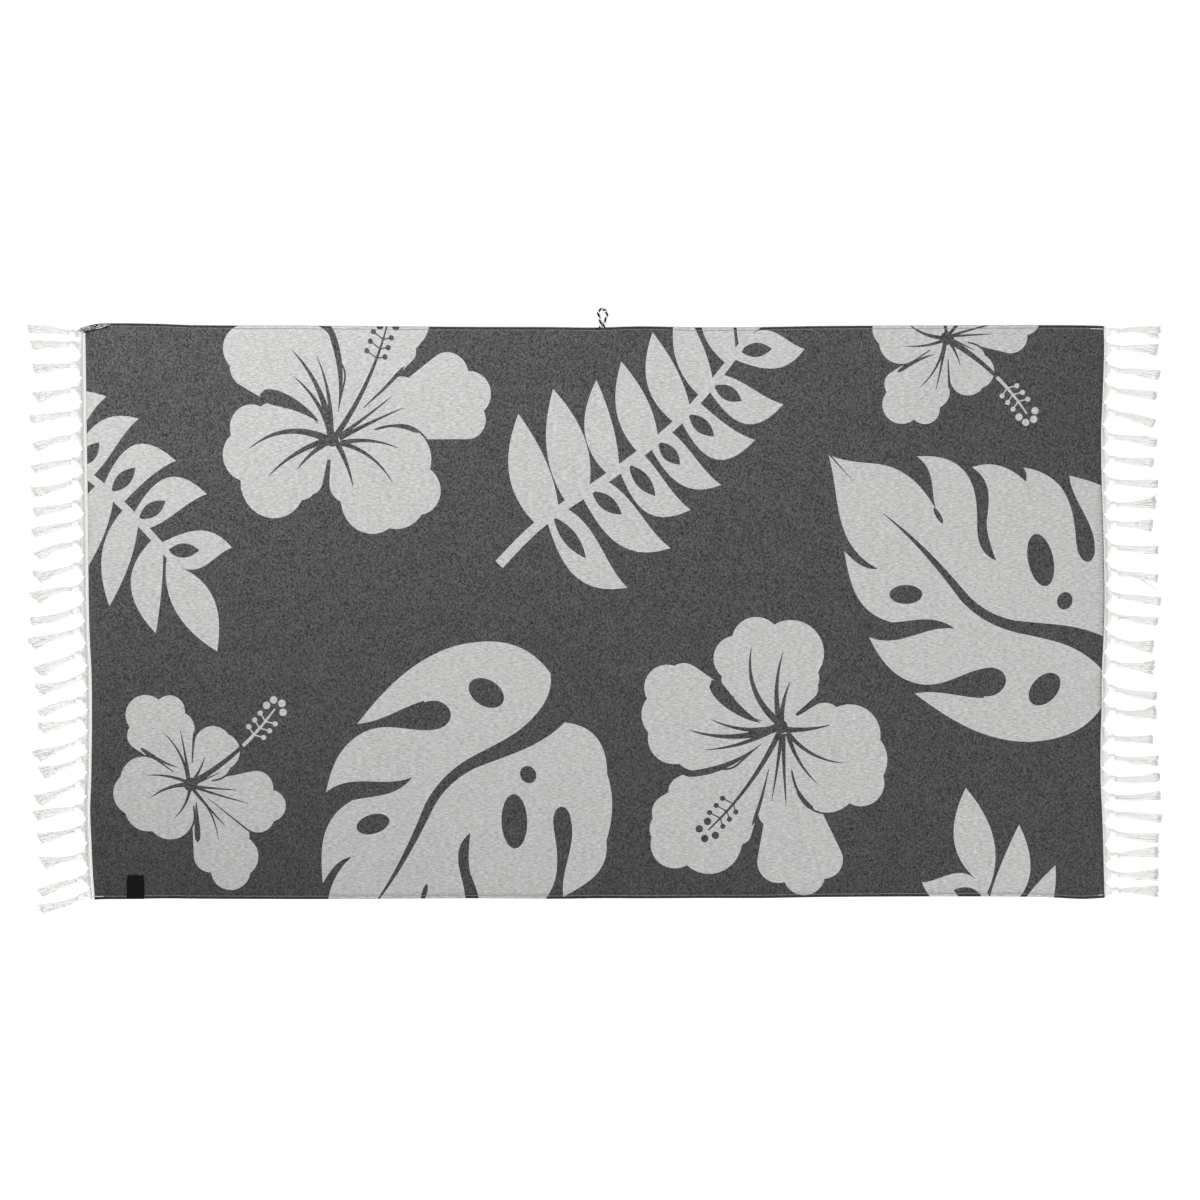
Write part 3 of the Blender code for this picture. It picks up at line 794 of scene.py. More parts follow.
def frond():
    """A stem with its leaflets; those on its right have a dark almond."""
    path, length = smooth_path([Vector(point) for point in STEM], 60)
    leaves, almonds = [], []
    fullness, almond_bow = 1.4, 15
    for leaflet in FROND:
        share = leaflet.at / length
        root = point_along(path, share)
        along = (point_along(path, share + 0.02) - point_along(path, share - 0.02)).normalized()
        tip = root + polar(leaflet.turn, leaflet.length)
        foot, heel = root - along * leaflet.root / 2, root + along * leaflet.root / 2
        back, front = leaflet.back * fullness, leaflet.front * fullness
        if along.cross(tip - root) > 0:
            outline = (bowed(tip, foot, back * 0.8, back)
                       + bowed(heel, tip, front * 1.1, front * 0.8))
        else:
            sway = leaflet.length * 0.07
            outline = (bowed(foot, tip, back * 0.7 - sway * 0.7, back + sway * 0.5)
                       + bowed(tip, heel, front * 0.3 - sway, front * 1.1 + sway * 0.7))
        leaves.append((outline, LIGHT))
        if leaflet.slit:
            inner = root - along * 6 + polar(leaflet.turn, 4)
            outer = inner + polar(leaflet.turn + leaflet.slit_turn, leaflet.slit)
            almond = bowed(inner, outer, almond_bow, almond_bow)
            almond += bowed(outer, inner, almond_bow, almond_bow)[1:-1]
            almonds.append((almond, DARK))
    foot_width, end_width = STEM_WIDTH
    halves = [(foot_width + (end_width - foot_width) * share) / 2 for share in shares(60)]
    return leaves + almonds + [(swept(path, halves), LIGHT)]


def split_leaf():
    """Two halves from their sweeps, then the dark holes."""
    shapes = []
    for half in (LEAF_LOWER, LEAF_UPPER):
        outline = []
        for start, sweep in zip(half, half[1:]):
            outline += bowed(Vector((start.x, start.y)), Vector((sweep.x, sweep.y)),
                             sweep.near, sweep.far, 14)[:-1]
        shapes.append((outline, LIGHT))
    return shapes + [(ellipse(*hole), DARK) for hole in LEAF_HOLES]


def motif_shapes():
    """All motif outlines with their colour, each painted over those before it."""
    kinds = {
        "wide flower": flower(WIDE_FLOWER, DARK),
        "round flower": flower(ROUND_FLOWER, LIGHT),
        "leaf": split_leaf(),
        "frond": frond(),
    }
    return [shape for place in MOTIFS for shape in placed(kinds[place.kind], place)]


# ---- Cloth ----
def side_line(side, inward, steps):
    """Points along a long side, a distance in from it, from left to right."""
    line = []
    for share in shares(steps):
        y = side(CLOTH_LENGTH * (share - 0.5)) + inward
        line.append((cloth_x(share, y), y))
    return line


def end_line(end, steps):
    """Points along an end of the cloth, from the lower side up, without its corners."""
    corner = math.copysign(CLOTH_LENGTH / 2, end(0))
    low, high = lower_side(corner), upper_side(corner)
    return [(end(low + (high - low) * step / steps), low + (high - low) * step / steps)
            for step in range(1, steps)]


def counterclockwise(outline):
    """The outline, turned round if it runs clockwise."""
    area = sum(one[0] * two[1] - two[0] * one[1]
               for one, two in zip(outline, outline[1:] + outline[:1]))
    return outline if area > 0 else outline[::-1]


def make_cloth(settings):
    """One closed thin sheet: a face for each colour above, and the reverse below."""
    points, lines, areas = [], [], []

    def add_line(line, closed=False):
        first = len(points)
        points.extend(Vector(point) for point in line)
        numbers = list(range(first, len(points)))
        if closed:
            areas.append(numbers)
        else:
            lines.extend(zip(numbers, numbers[1:]))

    steps = 200
    rim = side_line(lower_side, 0, steps) + end_line(right_end, 110)
    rim += side_line(upper_side, 0, steps)[::-1] + end_line(left_end, 110)[::-1]
    add_line(rim, closed=True)
    colours = [DARK]
    for outline, colour in motif_shapes():
        add_line(counterclockwise([(x * MM, y * MM) for x, y in outline]), closed=True)
        colours.append(colour)
    for row in HEM_STEPS[1:]:
        add_line(side_line(lower_side, row.inward * MM, steps))
        add_line(side_line(upper_side, -row.inward * MM, steps))
    rows, columns = 76, 134
    margin = HEM_STEPS[-1].inward * MM
    for column in range(1, columns):
        share = column / columns
        straight = CLOTH_LENGTH * (share - 0.5)
        low, high = lower_side(straight) + margin, upper_side(straight) - margin
        for row in range(1, rows):
            y = low + (high - low) * (row + 0.4 * (column % 2)) / (rows + 0.4)
            points.append(Vector((cloth_x(share, y), y)))

    flat_points, _, triangles, _, _, owners = delaunay_2d_cdt(
        points, lines, areas, 0, 1e-7, True
    )
    kept = [(triangle, colours[max(ids)]) for triangle, ids in zip(triangles, owners) if 0 in ids]
    used = sorted({corner for triangle, _ in kept for corner in triangle})
    number = {corner: place for place, corner in enumerate(used)}
    shape = Shape()
    count = len(used)
    for level in ("upper", "lower"):
        for corner in used:
            x, y = flat_points[corner]
            height = read_straight(HEM_STEPS, from_edge(x, y) / MM, level) * MM
            height += lift_of_cloth(x, y, settings.unevenness)
            shape.points.append(Vector((x, y, height)))
    sides_of = set()
    near_hems = CLOTH_WIDTH / 2 - 20 * MM
    for corners, colour in kept:
        middle = sum((flat_points[corner] for corner in corners), Vector((0, 0))) / 3
        # Dark ground in the outer strip of a hem takes the darker finish: painted shade of the
        # rolled edge.
        folded = abs(middle.y) > near_hems and from_edge(*middle) < FOLD_SHADE_WIDTH
        triangle = tuple(number[corner] for corner in corners)
        shape.face(triangle, HEM_FOLD_SHADE if folded and colour == DARK else colour)
        shape.face(tuple(corner + count for corner in reversed(triangle)), 1 - colour)
        for one, two in zip(triangle, triangle[1:] + triangle[:1]):
            sides_of.add((one, two))
    for one, two in sides_of:
        if (two, one) not in sides_of:
            shape.face((two, one, one + count, two + count), DARK)
    materials = (
        ground_material("charcoal_ground", settings.ground),
        motif_material(settings),
        # the darker ground: painted shade along the rolled edges of the hems
        ground_material("hem_fold", settings.fold),
    )
    return shape.piece("cloth_sheet", materials, "jacquard_cotton", ["cloth"])


def make_stitches(settings):
    """The lockstitch along both hems, a short bar of thread for each stitch."""
    shape = Shape()
    label_half = 14.5 * MM
    stitch, space = 2.6 * MM, 0.9 * MM
    for side, inward in ((lower_side, STITCH_LINE), (upper_side, -STITCH_LINE)):
        chance = random.Random(5)
        x = -CLOTH_LENGTH / 2 + 9 * MM
        while x < CLOTH_LENGTH / 2 - 4 * MM:
            under_label = side is lower_side and abs(x + stitch / 2 - LABEL_MIDDLE) < label_half
            if not under_label:
                path = []
                wander = chance.uniform(-0.15, 0.15) * MM
                for share, rise in ((0, -0.2), (0.2, 0.25), (0.8, 0.25), (1, -0.2)):
                    along = x + stitch * share
                    y = side(along) + inward + wander
                    height = cloth_top(along, y, settings.unevenness)
                    path.append(Vector((along, y, height + rise * MM)))
                shape.yarn(path, 1.0 * MM, 4, 0, chance.uniform(0, 9))
            x += stitch + space
    for side, inward, start, end in (
        (lower_side, STITCH_LINE, -788, -775),
        (lower_side, STITCH_LINE, 790, 797),
        (upper_side, -STITCH_LINE, 777, 797),
    ):
        path = []
        for share in shares(5):
            along = (start + (end - start) * share) * MM
            y = side(along) + inward
            path.append(Vector((along, y, cloth_top(along, y, 0) + 0.35 * MM)))
        shape.yarn(path, 1.4 * MM, 4, 1)
    add_curl(shape)
    materials = (
        yarn_material("hem_thread", settings.thread, 0.8),
        yarn_material("hem_thread_end", settings.thread_end, 0.8),
        # dark yarn ends, and the painted shadow line under the curled end
        yarn_material("hem_dark_end", settings.dark_end, 0.8, 0.05),
    )
    return shape.piece("hem_stitches", materials, "jacquard_cotton")


def add_curl(shape):
    """The curled end of the hem: cut ends of light and dark yarn, and below them a dark yarn laid
    as a painted shadow.
    """
    chance = random.Random(8)
    first, last = CURL[0].along, CURL[-1].along
    # A dark yarn along the curl's lower side: a painted shadow under the curled end.
    fold = []
    for share in shares(24):
        along = first + 8 + (last - first - 8) * share
        low = read_row(CURL, along, "across") - read_row(CURL, along, "width") / 2 - 0.9
        fold.append(Vector((along, low, 2.3)) * MM)
    shape.yarn(fold, 2.2 * MM, 4, 2, 0.0, 0.3)
    for row in range(5):
        along = first + chance.uniform(0, 2)
        while along < last - 2:
            path = []
            for share in (0, 0.5, 1):
                at = along + 2.4 * share
                width = max(read_row(CURL, at, "width") - 1.2, 0.0)
                across = read_row(CURL, at, "across") + (row / 4 - 0.5) * width
                path.append(Vector((at, across, 2.6 + 0.5 * math.sin(math.pi * share))) * MM)
            kind = chance.choices((0, 1, 2), (5, 3, 2) if along > -806 else (1, 6, 3))[0]
            shape.yarn(path, 1.4 * MM, 4, kind, chance.uniform(0, 9))
            along += 2.3


# ---- Fringes ----
# The band's finish also colours the two stray yarns, where its darker tone is painted shade.
YARN, BAND_AND_STRAY_SHADE, DARK_THREAD = 0, 1, 2
BRUSH_TOP = 7.2 * MM            # width of a brush where it leaves its knot

# A band's section from the cloth out: shares of the width, and heights
BandStep = namedtuple("BandStep", "outward height")
BAND_STEPS = rows_of(
    BandStep,
    (-0.04, 0.7), (0.04, 1.15), (0.22, 1.25), (0.32, 0.95), (0.42, 1.25), (0.60, 1.25),
    (0.70, 0.95), (0.80, 1.2), (0.96, 1.1), (1.0, 0.5),
)

# The body of a knot: along the tassel from its middle, half width, half height, level
KnotRing = namedtuple("KnotRing", "along half_width half_height level")
KNOT_BODY = rows_of(
    KnotRing,
    (-6.0, 2.2, 1.2, 1.9), (-4.2, 3.0, 1.8, 2.5), (-1.8, 3.8, 2.2, 2.9), (1.2, 4.0, 2.3, 2.9),
    (4.0, 3.6, 2.0, 2.5), (6.5, 3.4, 1.6, 1.8),
)

Plan = namedtuple("Plan", "tassel root lower upper knot heading across line length")


def plan_tassels(tassels, end, outward, sizes):
    """Where each tassel's fan, knot and brush lie."""
    band_width, knot_from_cloth = sizes
    corner = outward * CLOTH_LENGTH / 2
    half_gap, tucked_in = 0.5 * MM, 1.2 * MM
    brush_start, brush_bends = 4 * MM, 10 * MM      # from the knot's middle
    plans = []
    for index, tassel in enumerate(tassels):
        y = tassel.knot * MM
        upper, lower = upper_side(corner), lower_side(corner)
        if index > 0:
            upper = (tassels[index - 1].knot * MM + y) / 2
        if index < len(tassels) - 1:
            lower = (tassels[index + 1].knot * MM + y) / 2
        knot = Vector((end(y) + outward * knot_from_cloth, y, 0))
        tip = Vector((outward * (CLOTH_LENGTH / 2 + tassel.reach * MM), y + tassel.lean * MM, 0))
        middle = Vector(((knot.x + tip.x) / 2, y + tassel.bend * MM, 0))
        heading = (middle - knot).normalized()
        across = UP.cross(heading)
        line, length = smooth_path(
            [knot + heading * brush_start, knot + heading * brush_bends, middle, tip], 24
        )
        plans.append(Plan(
            tassel, GAP + band_width - tucked_in, lower + half_gap, upper - half_gap,
            knot, heading, across, line, length,
        ))
    return plans


def add_fan(shape, plan, end, outward, settings, chance):
    """The warp yarns of one tassel, from the band to the knot."""
    count, thick = settings.fan_yarns, 1.4 * MM
    knot_half, drawn_in, on_the_way, level = 2.4 * MM, 3 * MM, 5 * MM, 1.2 * MM
    half = (plan.upper - plan.lower) / 2
    centre = (plan.upper + plan.lower) / 2
    for number in range(count):
        side = (number + 0.5) / count * 2 - 1
        y = centre + side * half
        root = centre + side * (half - (0.0 if outward < 0 else 1.2 * MM))
        drawn = centre + side * (half - drawn_in)
        pull = plan.knot - plan.heading * on_the_way
        side_way = Vector((0, 1, 0)) * side * knot_half
        path = [
            Vector((end(y) + outward * plan.root, root, level)),
            Vector((end(y) + outward * (plan.root + on_the_way), drawn, level)),
            Vector((pull.x, pull.y, (1.2 + 1.1 * (number % 3)) * MM)) + side_way,
            Vector((plan.knot.x, plan.knot.y, (1.6 + 0.9 * (number % 3)) * MM)) + side_way * 0.8,
        ]
        path[1].y += chance.uniform(-0.3, 0.3) * MM
        fine, _ = smooth_path(path, 5)
        shape.yarn(fine, thick, 3, YARN, chance.uniform(0, 9))


def knot_point(plan, along, across, height):
    """A point given from a knot's middle."""
    point = plan.knot + plan.heading * along + plan.across * across
    point.z = height
    return point


def add_knot(shape, plan, chance):
    """An overhand knot: its body, a slanting wrap of strands and a narrow collar."""
    rings, corners = [], 10
    size = chance.uniform(0.94, 1.06)
    for row in KNOT_BODY:
        ring = []
        for corner in range(corners):
            angle = 2 * math.pi * corner / corners
            ring.append(knot_point(
                plan, row.along * MM,
                row.half_width * size * math.cos(angle) * MM,
                (row.level + row.half_height * math.sin(angle)) * MM,
            ))
        rings.append(ring)
    shape.rings(rings, YARN, 2.4)
    slant = chance.choice((-1, 1)) * chance.uniform(2.2, 3.4) * MM
    wrap_half, wrap_rise, wrap_level = 4.35 * size, 2.3, 3.05
    collar_half, collar_rise, collar_level = 3.75, 2.0, 2.55
    strands, spacing = 8, 0.86 * MM
    for strand in range(strands):
        place = strand - (strands - 1) / 2
        crown = 0.35 * (1 - (place / 4) ** 2)
        path = []
        for share in shares(20):
            angle = math.radians(-108 + 396 * share)
            path.append(knot_point(
                plan,
                place * spacing + slant * math.cos(angle) - 0.6 * MM,
                (wrap_half + crown) * math.cos(angle) * MM,
                (wrap_level + (wrap_rise + crown) * math.sin(angle)) * MM,
            ))
        shape.yarn(path, 1.1 * MM, 3, YARN, chance.uniform(0, 9))
    for strand in range(3):
        path = []
        for share in shares(16):
            angle = math.radians(-100 + 380 * share)
            path.append(knot_point(
                plan, (3.9 + strand * 0.85) * MM - slant * 0.2 * math.cos(angle),
                (collar_half - 0.1 * strand) * math.cos(angle) * MM,
                (collar_level - 0.15 * strand + collar_rise * math.sin(angle)) * MM,
            ))
        shape.yarn(path, 1.0 * MM, 3, YARN, chance.uniform(0, 9))


def add_brush(shape, plan, outward, settings, chance):
    """The loose yarns below a knot, flaring a little; the loop's side is cut longer."""
    count = settings.brush_yarns
    thick = settings.yarn_thickness
    spread = (plan.tassel.spread + 1.5) * MM
    slant = spread * (0.36 if outward < 0 else 0.15)
    narrowest = 12                  # a wider brush flares later, towards its tip
    flare = 0.55 + 0.12 * max(plan.tassel.spread - narrowest, 0)
    heap_at_knot, heap_at_tip = 3.6 * MM, 1.9 * MM
    rise_at_knot, falls_over = 0.8 * MM, 0.14
    once_round, sway, float_up = 6.28, 0.55 * MM, 0.15 * MM
    order = list(range(count))
    chance.shuffle(order)
    for number in range(count):
        side = (number + 0.5) / count * 2 - 1 + chance.uniform(-0.04, 0.04)
        layer = (order[number] + 0.5) / count
        cut = chance.uniform(-0.5, 0.5) * settings.raggedness * (1.0 if number % 5 else 1.6)
        cut += slant * (0.5 - side * outward / 2)
        reach = 1 - cut / plan.length
        phase, phase_up = chance.uniform(0, once_round), chance.uniform(0, once_round)
        waves = chance.uniform(1.2, 2.4)
        flick = chance.gauss(0, 0.9) * MM
        path = []
        for share in (reach * step for step in shares(10)):
            centre = point_along(plan.line, share)
            ahead = point_along(plan.line, share + 0.04) - point_along(plan.line, share - 0.04)
            across = UP.cross(ahead).normalized()
            width = BRUSH_TOP + (spread - BRUSH_TOP) * share ** flare
            heap = heap_at_knot + (heap_at_tip - heap_at_knot) * share
            heap *= math.sqrt(max(1 - side * side, 0.0))
            offset = side * (width - thick) / 2
            offset += sway * share ** 0.5 * math.sin(waves * once_round * share + phase)
            offset += flick * share ** 5
            fall = max(1 - share / falls_over, 0.0) ** 2
            height = thick / 2 + max(heap - thick, 0.0) * layer + rise_at_knot * fall
            height += float_up * (1 + math.sin(9 * share + phase_up)) * share
            path.append(centre + across * offset + UP * height)
        shape.yarn(path, thick * chance.uniform(0.9, 1.1), 3, YARN, chance.uniform(0, 9), 0.7)


def add_strays(shape):
    """The two yarns that lie beside their brush, in the band's darker colour as painted shade,
    though they are the same white cotton as the brushes.
    """
    for yarn, thick in (("curl", 0.9 * MM), ("strand", 2.0 * MM)):
        points = [Vector((row.along, row.across, 0.8)) * MM for row in STRAYS if row.yarn == yarn]
        path, _ = smooth_path(points, 20)
        # The band's darker colour on these white cotton yarns is painted shade.
        shape.yarn(path, thick, 4, BAND_AND_STRAY_SHADE, 0.0, 0.6)


def add_band(shape, end, outward, band_width):
    """The woven strip between the cloth and the fringe."""
    corner = outward * CLOTH_LENGTH / 2
    low, high = lower_side(corner), upper_side(corner)
    slices = 420
    rings = []
    for row in range(slices + 1):
        y = low + (high - low) * row / slices
        lower = 0.35 if row in (0, slices) else 0.0
        bead = 0.05 * math.sin(row * math.pi / 1.5)
        section = [(step.outward, (step.height - lower + bead) * MM) for step in BAND_STEPS]
        section += [(BAND_STEPS[-1].outward, 0.0), (BAND_STEPS[0].outward, 0.0)]
        ring = [Vector((end(y) + outward * (GAP + band_width * out), y, height))
                for out, height in section]
        rings.append(ring if outward > 0 else ring[::-1])
    shape.rings(rings, BAND_AND_STRAY_SHADE)


def add_thread_ends(shape, plans, end, outward, band_width, chance):
    """Short ends of dark weft, at the edge of the band between the tassels."""
    for one, two in zip(plans, plans[1:]):
        for _ in range(3):
            y = (one.lower + two.upper) / 2 + chance.uniform(-1.6, 1.6) * MM
            x = end(y) + outward * (GAP + band_width + chance.uniform(-1.4, 0.6) * MM)
            turn = chance.uniform(0, math.pi)
            step = Vector((math.cos(turn), math.sin(turn), 0)) * chance.uniform(0.5, 0.9) * MM
            middle = Vector((x, y, 1.4 * MM))
            path = [middle - step - UP * 0.5 * MM, middle, middle + step - UP * 0.5 * MM]
            shape.yarn(path, 0.6 * MM, 4, DARK_THREAD)


def add_lines(shape, end, outward):
    """The two faint lines of weft in the wider band."""
    for out in (1.8 * MM, 4.5 * MM):
        path = []
        low = lower_side(outward * CLOTH_LENGTH / 2) + 1 * MM
        for share in shares(60):
            y = low + (CLOTH_WIDTH - 3 * MM) * share
            path.append(Vector((end(y) + outward * out, y, 1.15 * MM)))
        shape.yarn(path, 0.26 * MM, 4, DARK_THREAD)


def add_edge_dots(shape, end, outward, chance):
    """The dark weft's turns, which show as dots along the edge of the cloth."""
    y = -CLOTH_WIDTH / 2 + 4 * MM
    while y < CLOTH_WIDTH / 2 - 5 * MM:
        half = chance.uniform(1.0, 1.7) * MM
        x = end(y) - outward * 0.8 * MM
        path = [Vector((x, y + half * share, 1.2 * MM)) for share in (-1, 0, 1)]
        shape.yarn(path, 1.5 * MM, 4, DARK_THREAD)
        y += chance.uniform(5.0, 6.4) * MM


def make_fringe(name, node, tassels, end, outward, sizes, settings, slot):
    """One end band with all its tassels."""
    chance = random.Random(11 if outward < 0 else 29)
    shape = Shape()
    add_band(shape, end, outward, sizes[0])
    plans = plan_tassels(tassels, end, outward, sizes)
    for plan in plans:
        add_fan(shape, plan, end, outward, settings, chance)
        add_knot(shape, plan, chance)
        add_brush(shape, plan, outward, settings, chance)
    add_thread_ends(shape, plans, end, outward, sizes[0], chance)
    if outward > 0:
        add_edge_dots(shape, end, outward, chance)
        add_strays(shape)
    else:
        add_lines(shape, end, outward)
    materials = (
        yarn_material(name + "_yarn", settings.cotton, 2.2),
        band_material(settings),
        yarn_material(name + "_weft_ends", settings.weft, 1.5, 0.1),
    )
    return shape.piece(name, materials, slot, [node])


# ---- Loop and label ----
def make_loop(settings):
    """The cord: a dark and a light ply round one another, each of four strands."""
    rest = settings.thickness / 2
    lay_length = 6.5                # along the cord, for one turn of a strand in its ply
    ply_out, strand_out = 0.2, 0.45     # from the middle, as shares of the cord and the ply
    points = []
    for along, out in LOOP_ROUTE:
        x = along * MM
        points.append(Vector((x, upper_side(x) + GAP + out * MM, rest)))
    points.insert(0, points[0] + Vector((-0.1, -1.0, 0)) * MM)      # both ends, in the hem
    points.append(points[-1] + Vector((0.1, -1.0, 0)) * MM)
    buried = (points[1] - points[0]).length
    steps = 170
    route, length = smooth_path(points, steps)
    marks = (-2.0,) + DARK_ON_TOP + (74.0,)
    plies = ([[] for _ in range(4)], [[] for _ in range(4)])
    for index, centre in enumerate(route):
        reached = (length * index / steps - buried) / MM
        row = 0
        while row < len(marks) - 2 and marks[row + 1] < reached:
            row += 1
        turns = row + (reached - marks[row]) / (marks[row + 1] - marks[row])
        ahead = way_on(route, index)
        across = ahead.cross(UP).normalized()
        above = across.cross(ahead).normalized()
        for ply, strands in enumerate(plies):
            angle = 2 * math.pi * turns + math.pi * ply + math.pi / 2
            arm = across * math.cos(angle) + above * math.sin(angle)
            middle = centre + arm * rest * ply_out
            for number, strand in enumerate(strands):
                lay = -2 * math.pi * (reached / lay_length) + math.pi / 2 * number
                arm = across * math.cos(lay) + above * math.sin(lay)
                strand.append(middle + arm * rest * PLY_BULK[ply] * strand_out)
    shape = Shape()
    for ply, strands in enumerate(plies):
        for strand in strands:
            shape.yarn(strand, rest * PLY_BULK[ply], 5, ply)
    materials = (
        yarn_material("loop_dark_ply", settings.dark, 1.6, 0.0),
        yarn_material("loop_light_ply", settings.light, 1.6),
    )
    return shape.piece("cord_loop", materials, "loop_cord", ["hanging_loop"])


def make_label(settings):
    """A bare woven label, sewn down at the hem."""
    node_low, node_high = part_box("label")
    height = node_high.y - node_low.y
    taper, end_width = 8 * MM, 24.5 * MM
    hem_end, cloth_start = 7.75 * MM, 10 * MM
    over_hem, over_cloth = 2.7 * MM, 1.5 * MM
    columns, slices = 18, 26
    rings = []
    for row in range(slices + 1):
        along = height * row / slices
        narrow = max((along - height + taper) / taper, 0.0)
        width = settings.width - (settings.width - end_width) * narrow
        off_hem = min(max((along - hem_end) / (cloth_start - hem_end), 0.0), 1.0)
        base = over_hem + (over_cloth - over_hem) * off_hem
        upper, lower = [], []
        for column in range(columns + 1):
            x = LABEL_MIDDLE + (column / columns - 0.5) * width
            rim = min(column, columns - column, row, slices - row)
            soft = (0.05 if rim else 0.35) * MM
            ridge = 0.12 * MM if rim == 1 else 0.0
            top = base + settings.thickness - soft + ridge
            upper.append(Vector((x, node_low.y + along, top)))
            lower.append(Vector((x, node_low.y + along, base + soft * 0.6)))
        rings.append(upper + lower[::-1])
    shape = Shape()
    shape.rings(rings)
    return shape.piece("plain_label", [label_material(settings)], "label_weave", ["label"])


# ---- Stage ----
def make_stage(settings):
    """A pale floor, soft light from all round with a little more from below left, and
    the camera straight above."""
    half = 8.0
    shines_towards = Vector((0.45, 0.8, -1.1))
    mesh = bpy.data.meshes.new("floor")
    corners = [(-half, -half), (half, -half), (half, half), (-half, half)]
    mesh.from_pydata([(x, y, -0.2 * MM) for x, y in corners], [], [(0, 1, 2, 3)])
    mesh.materials.append(floor_material(settings))
    floor = new_object("floor", mesh)

    world = bpy.data.worlds.new("soft_room")
    world.use_nodes = True
    background = world.node_tree.nodes["Background"]
    background.inputs["Color"].default_value = (1.0, 1.0, 1.0, 1.0)
    background.inputs["Strength"].default_value = settings.room
    bpy.context.scene.world = world

    light = bpy.data.lights.new("soft_window", "SUN")
    light.energy = settings.window
    light.angle = settings.softness
    lamp = new_object("soft_window", light)
    lamp.rotation_euler = shines_towards.to_track_quat("-Z", "Y").to_euler()

    height, view_width = 6.0, 1.888
    camera_data = bpy.data.cameras.new("above")
    camera_data.sensor_width = 36
    camera_data.lens = camera_data.sensor_width * height / view_width
    camera_data.clip_end = 50
    camera = new_object("above", camera_data)
    camera.location = (5.8 * MM, 19.2 * MM, height)
    bpy.context.scene.camera = camera
    bpy.context.scene.view_settings.view_transform = "Standard"


# ---- Settings ----
class TowelClothSettings(PropertyGroup):
    """Sizes and colours of the cloth and its hems."""

    unevenness: FloatProperty(
        name="Unevenness", description="How far the cloth stands off the floor in places",
        default=0.5 * MM, min=0.0, max=4 * MM, unit="LENGTH", precision=5,
    )
    ground: FloatVectorProperty(
        name="Ground", description="Mean colour of the dark ground",
        default=(0.0555, 0.0555, 0.0566), min=0.0, max=1.0, subtype="COLOR",
    )
    # Painted shade: the darker ground along the rolled edges of the hems, partly also their denser
    # cloth.
    fold: FloatVectorProperty(
        name="Hem fold", description="Mean colour of the ground at the folded edge",
        default=(0.0253, 0.0253, 0.0258), min=0.0, max=1.0, subtype="COLOR",
    )
    motif: FloatVectorProperty(
        name="Motifs", description="Mean colour of the light motifs",
        default=(0.420, 0.420, 0.414), min=0.0, max=1.0, subtype="COLOR",
    )
    thread: FloatVectorProperty(
        name="Hem thread", description="Colour of the stitches along the hems",
        default=(0.271, 0.271, 0.262), min=0.0, max=1.0, subtype="COLOR",
    )
    thread_end: FloatVectorProperty(
        name="Thread ends", description="Colour of the bare thread at the corners",
        default=(0.78, 0.78, 0.77), min=0.0, max=1.0, subtype="COLOR",
    )
    # Also the colour of the painted shadow line under the curled end of the hem.
    dark_end: FloatVectorProperty(
        name="Dark ends", description="Colour of the dark yarn at the curled corner",
        default=(0.006, 0.006, 0.006), min=0.0, max=1.0, subtype="COLOR",
    )


class TowelFringeSettings(PropertyGroup):
    """Yarns of the two fringes."""

    fan_yarns: IntProperty(
        name="Fan yarns", description="Warp yarns drawn into each knot",
        default=24, min=8, max=30,
    )
    brush_yarns: IntProperty(
        name="Brush yarns", description="Loose yarns below each knot",
        default=38, min=12, max=44,
    )
    yarn_thickness: FloatProperty(
        name="Yarn", description="Thickness of a loose yarn",
        default=1.25 * MM, min=0.4 * MM, max=3 * MM, unit="LENGTH", precision=5,
    )
    raggedness: FloatProperty(
        name="Raggedness", description="How unevenly the loose yarns are cut",
        default=5 * MM, min=0.0, max=20 * MM, unit="LENGTH", precision=4,
    )
    cotton: FloatVectorProperty(
        name="Cotton", description="Colour of the fringes",
        default=(0.93, 0.93, 0.905), min=0.0, max=1.0, subtype="COLOR",
    )
    # Also used on the two stray yarns, where it is painted shade.
    band: FloatVectorProperty(
        name="Bands", description="Colour of the woven end bands",
        default=(0.79, 0.79, 0.77), min=0.0, max=1.0, subtype="COLOR",
    )
    weft: FloatVectorProperty(
        name="Dark weft", description="Colour of the dark thread ends at the bands",
        default=(0.09, 0.09, 0.09), min=0.0, max=1.0, subtype="COLOR",
    )


class TowelLoopSettings(PropertyGroup):
    """The hanging loop's cord."""

    thickness: FloatProperty(
        name="Cord", description="Thickness of the two-ply cord",
        default=4 * MM, min=2 * MM, max=6 * MM, unit="LENGTH", precision=4,
    )
    dark: FloatVectorProperty(
        name="Dark ply", description="Colour of the dark ply",
        default=(0.002, 0.002, 0.002), min=0.0, max=1.0, subtype="COLOR",
    )
    light: FloatVectorProperty(
        name="Light ply", description="Colour of the light ply",
        default=(0.82, 0.82, 0.81), min=0.0, max=1.0, subtype="COLOR",
    )


class TowelLabelSettings(PropertyGroup):
    """The bare woven label."""

    width: FloatProperty(
        name="Width", description="Width of the label at the hem",
        default=27 * MM, min=10 * MM, max=60 * MM, unit="LENGTH", precision=4,
    )
    thickness: FloatProperty(
        name="Thickness", description="Thickness of the folded label",
        default=1 * MM, min=0.3 * MM, max=2 * MM, unit="LENGTH", precision=5,
    )
    tape: FloatVectorProperty(
        name="Tape", description="Colour of the label",
        default=(0.0019, 0.0019, 0.0020), min=0.0, max=1.0, subtype="COLOR",
    )


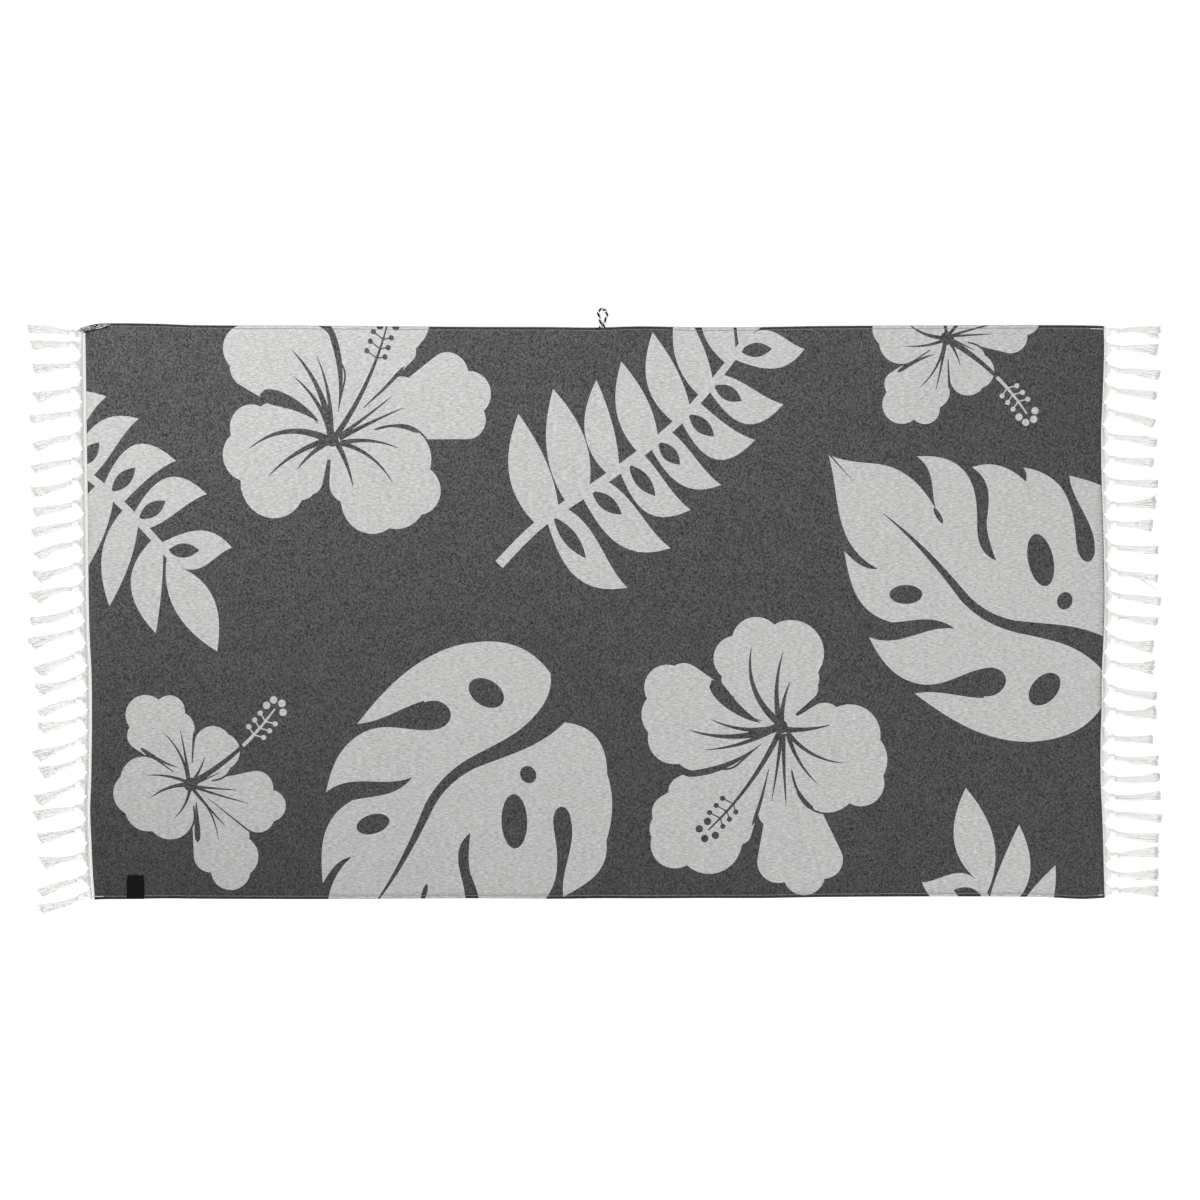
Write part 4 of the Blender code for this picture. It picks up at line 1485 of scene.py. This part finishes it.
class TowelStageSettings(PropertyGroup):
    """The floor and the light."""

    floor: FloatVectorProperty(
        name="Floor", description="Colour of the floor",
        default=(0.94, 0.94, 0.94), min=0.0, max=1.0, subtype="COLOR",
    )
    room: FloatProperty(
        name="Room light", description="Even light from all round",
        default=1.0, min=0.0, max=3.0,
    )
    window: FloatProperty(
        name="Window light", description="Soft light from below left",
        default=1.52, min=0.0, max=5.0,
    )
    softness: FloatProperty(
        name="Softness", description="Angle over which the window light is spread",
        default=math.radians(50), min=0.0, max=math.pi, subtype="ANGLE",
    )


# ---- Operators ----
class TOWEL_OT_cloth(Operator):
    """Weave the cloth with its motifs, and stitch its hems"""

    bl_idname = "towel.cloth"
    bl_label = "Cloth and hems"

    def execute(self, context):
        settings = context.scene.towel_cloth
        cloth = make_cloth(settings)
        stitches = make_stitches(settings)
        return {"FINISHED"}


class TOWEL_OT_fringes(Operator):
    """Knot the fringe at each end of the cloth"""

    bl_idname = "towel.fringes"
    bl_label = "Fringes"

    def execute(self, context):
        settings = context.scene.towel_fringes
        make_fringe("knotted_fringe_left", "fringe_left", TASSELS_LEFT, left_end, -1,
                    LEFT_SIZES, settings, "fringe_cotton")
        make_fringe("knotted_fringe_right", "fringe_right", TASSELS_RIGHT, right_end, 1,
                    RIGHT_SIZES, settings, "fringe_cotton")
        return {"FINISHED"}


class TOWEL_OT_loop(Operator):
    """Twist the hanging loop and sew it to the hem"""

    bl_idname = "towel.loop"
    bl_label = "Hanging loop"

    def execute(self, context):
        make_loop(context.scene.towel_loop)
        return {"FINISHED"}


class TOWEL_OT_label(Operator):
    """Sew the bare label to the hem"""

    bl_idname = "towel.label"
    bl_label = "Label"

    def execute(self, context):
        make_label(context.scene.towel_label)
        return {"FINISHED"}


class TOWEL_OT_stage(Operator):
    """Set the floor, the light and the camera"""

    bl_idname = "towel.stage"
    bl_label = "Stage"

    def execute(self, context):
        make_stage(context.scene.towel_stage)
        return {"FINISHED"}


class TOWEL_PT_panel(Panel):
    """All steps of the towel, in order"""

    bl_idname = "TOWEL_PT_panel"
    bl_label = "Hammam towel"
    bl_space_type = "VIEW_3D"
    bl_region_type = "UI"
    bl_category = "Towel"

    def draw(self, context):
        layout = self.layout
        for group, operator in STEPS:
            box = layout.box()
            box.operator(operator.bl_idname)
            settings = getattr(context.scene, group)
            for name in settings.__annotations__:
                box.prop(settings, name)


SETTINGS = {
    "towel_stage": TowelStageSettings,
    "towel_cloth": TowelClothSettings,
    "towel_fringes": TowelFringeSettings,
    "towel_loop": TowelLoopSettings,
    "towel_label": TowelLabelSettings,
}
STEPS = (
    ("towel_stage", TOWEL_OT_stage),
    ("towel_cloth", TOWEL_OT_cloth),
    ("towel_fringes", TOWEL_OT_fringes),
    ("towel_loop", TOWEL_OT_loop),
    ("towel_label", TOWEL_OT_label),
)


def register():
    """Make the settings, steps and panel known to Blender."""
    for name, group in SETTINGS.items():
        bpy.utils.register_class(group)
        setattr(bpy.types.Scene, name, PointerProperty(type=group))
    for _, operator in STEPS:
        bpy.utils.register_class(operator)
    bpy.utils.register_class(TOWEL_PT_panel)


def unregister():
    """Take them away again."""
    bpy.utils.unregister_class(TOWEL_PT_panel)
    for _, operator in reversed(STEPS):
        bpy.utils.unregister_class(operator)
    for name, group in SETTINGS.items():
        delattr(bpy.types.Scene, name)
        bpy.utils.unregister_class(group)


def main():
    """Build everything."""
    register()
    bpy.ops.towel.stage()
    bpy.ops.towel.cloth()
    bpy.ops.towel.fringes()
    bpy.ops.towel.loop()
    bpy.ops.towel.label()


if __name__ == "__main__":
    main()
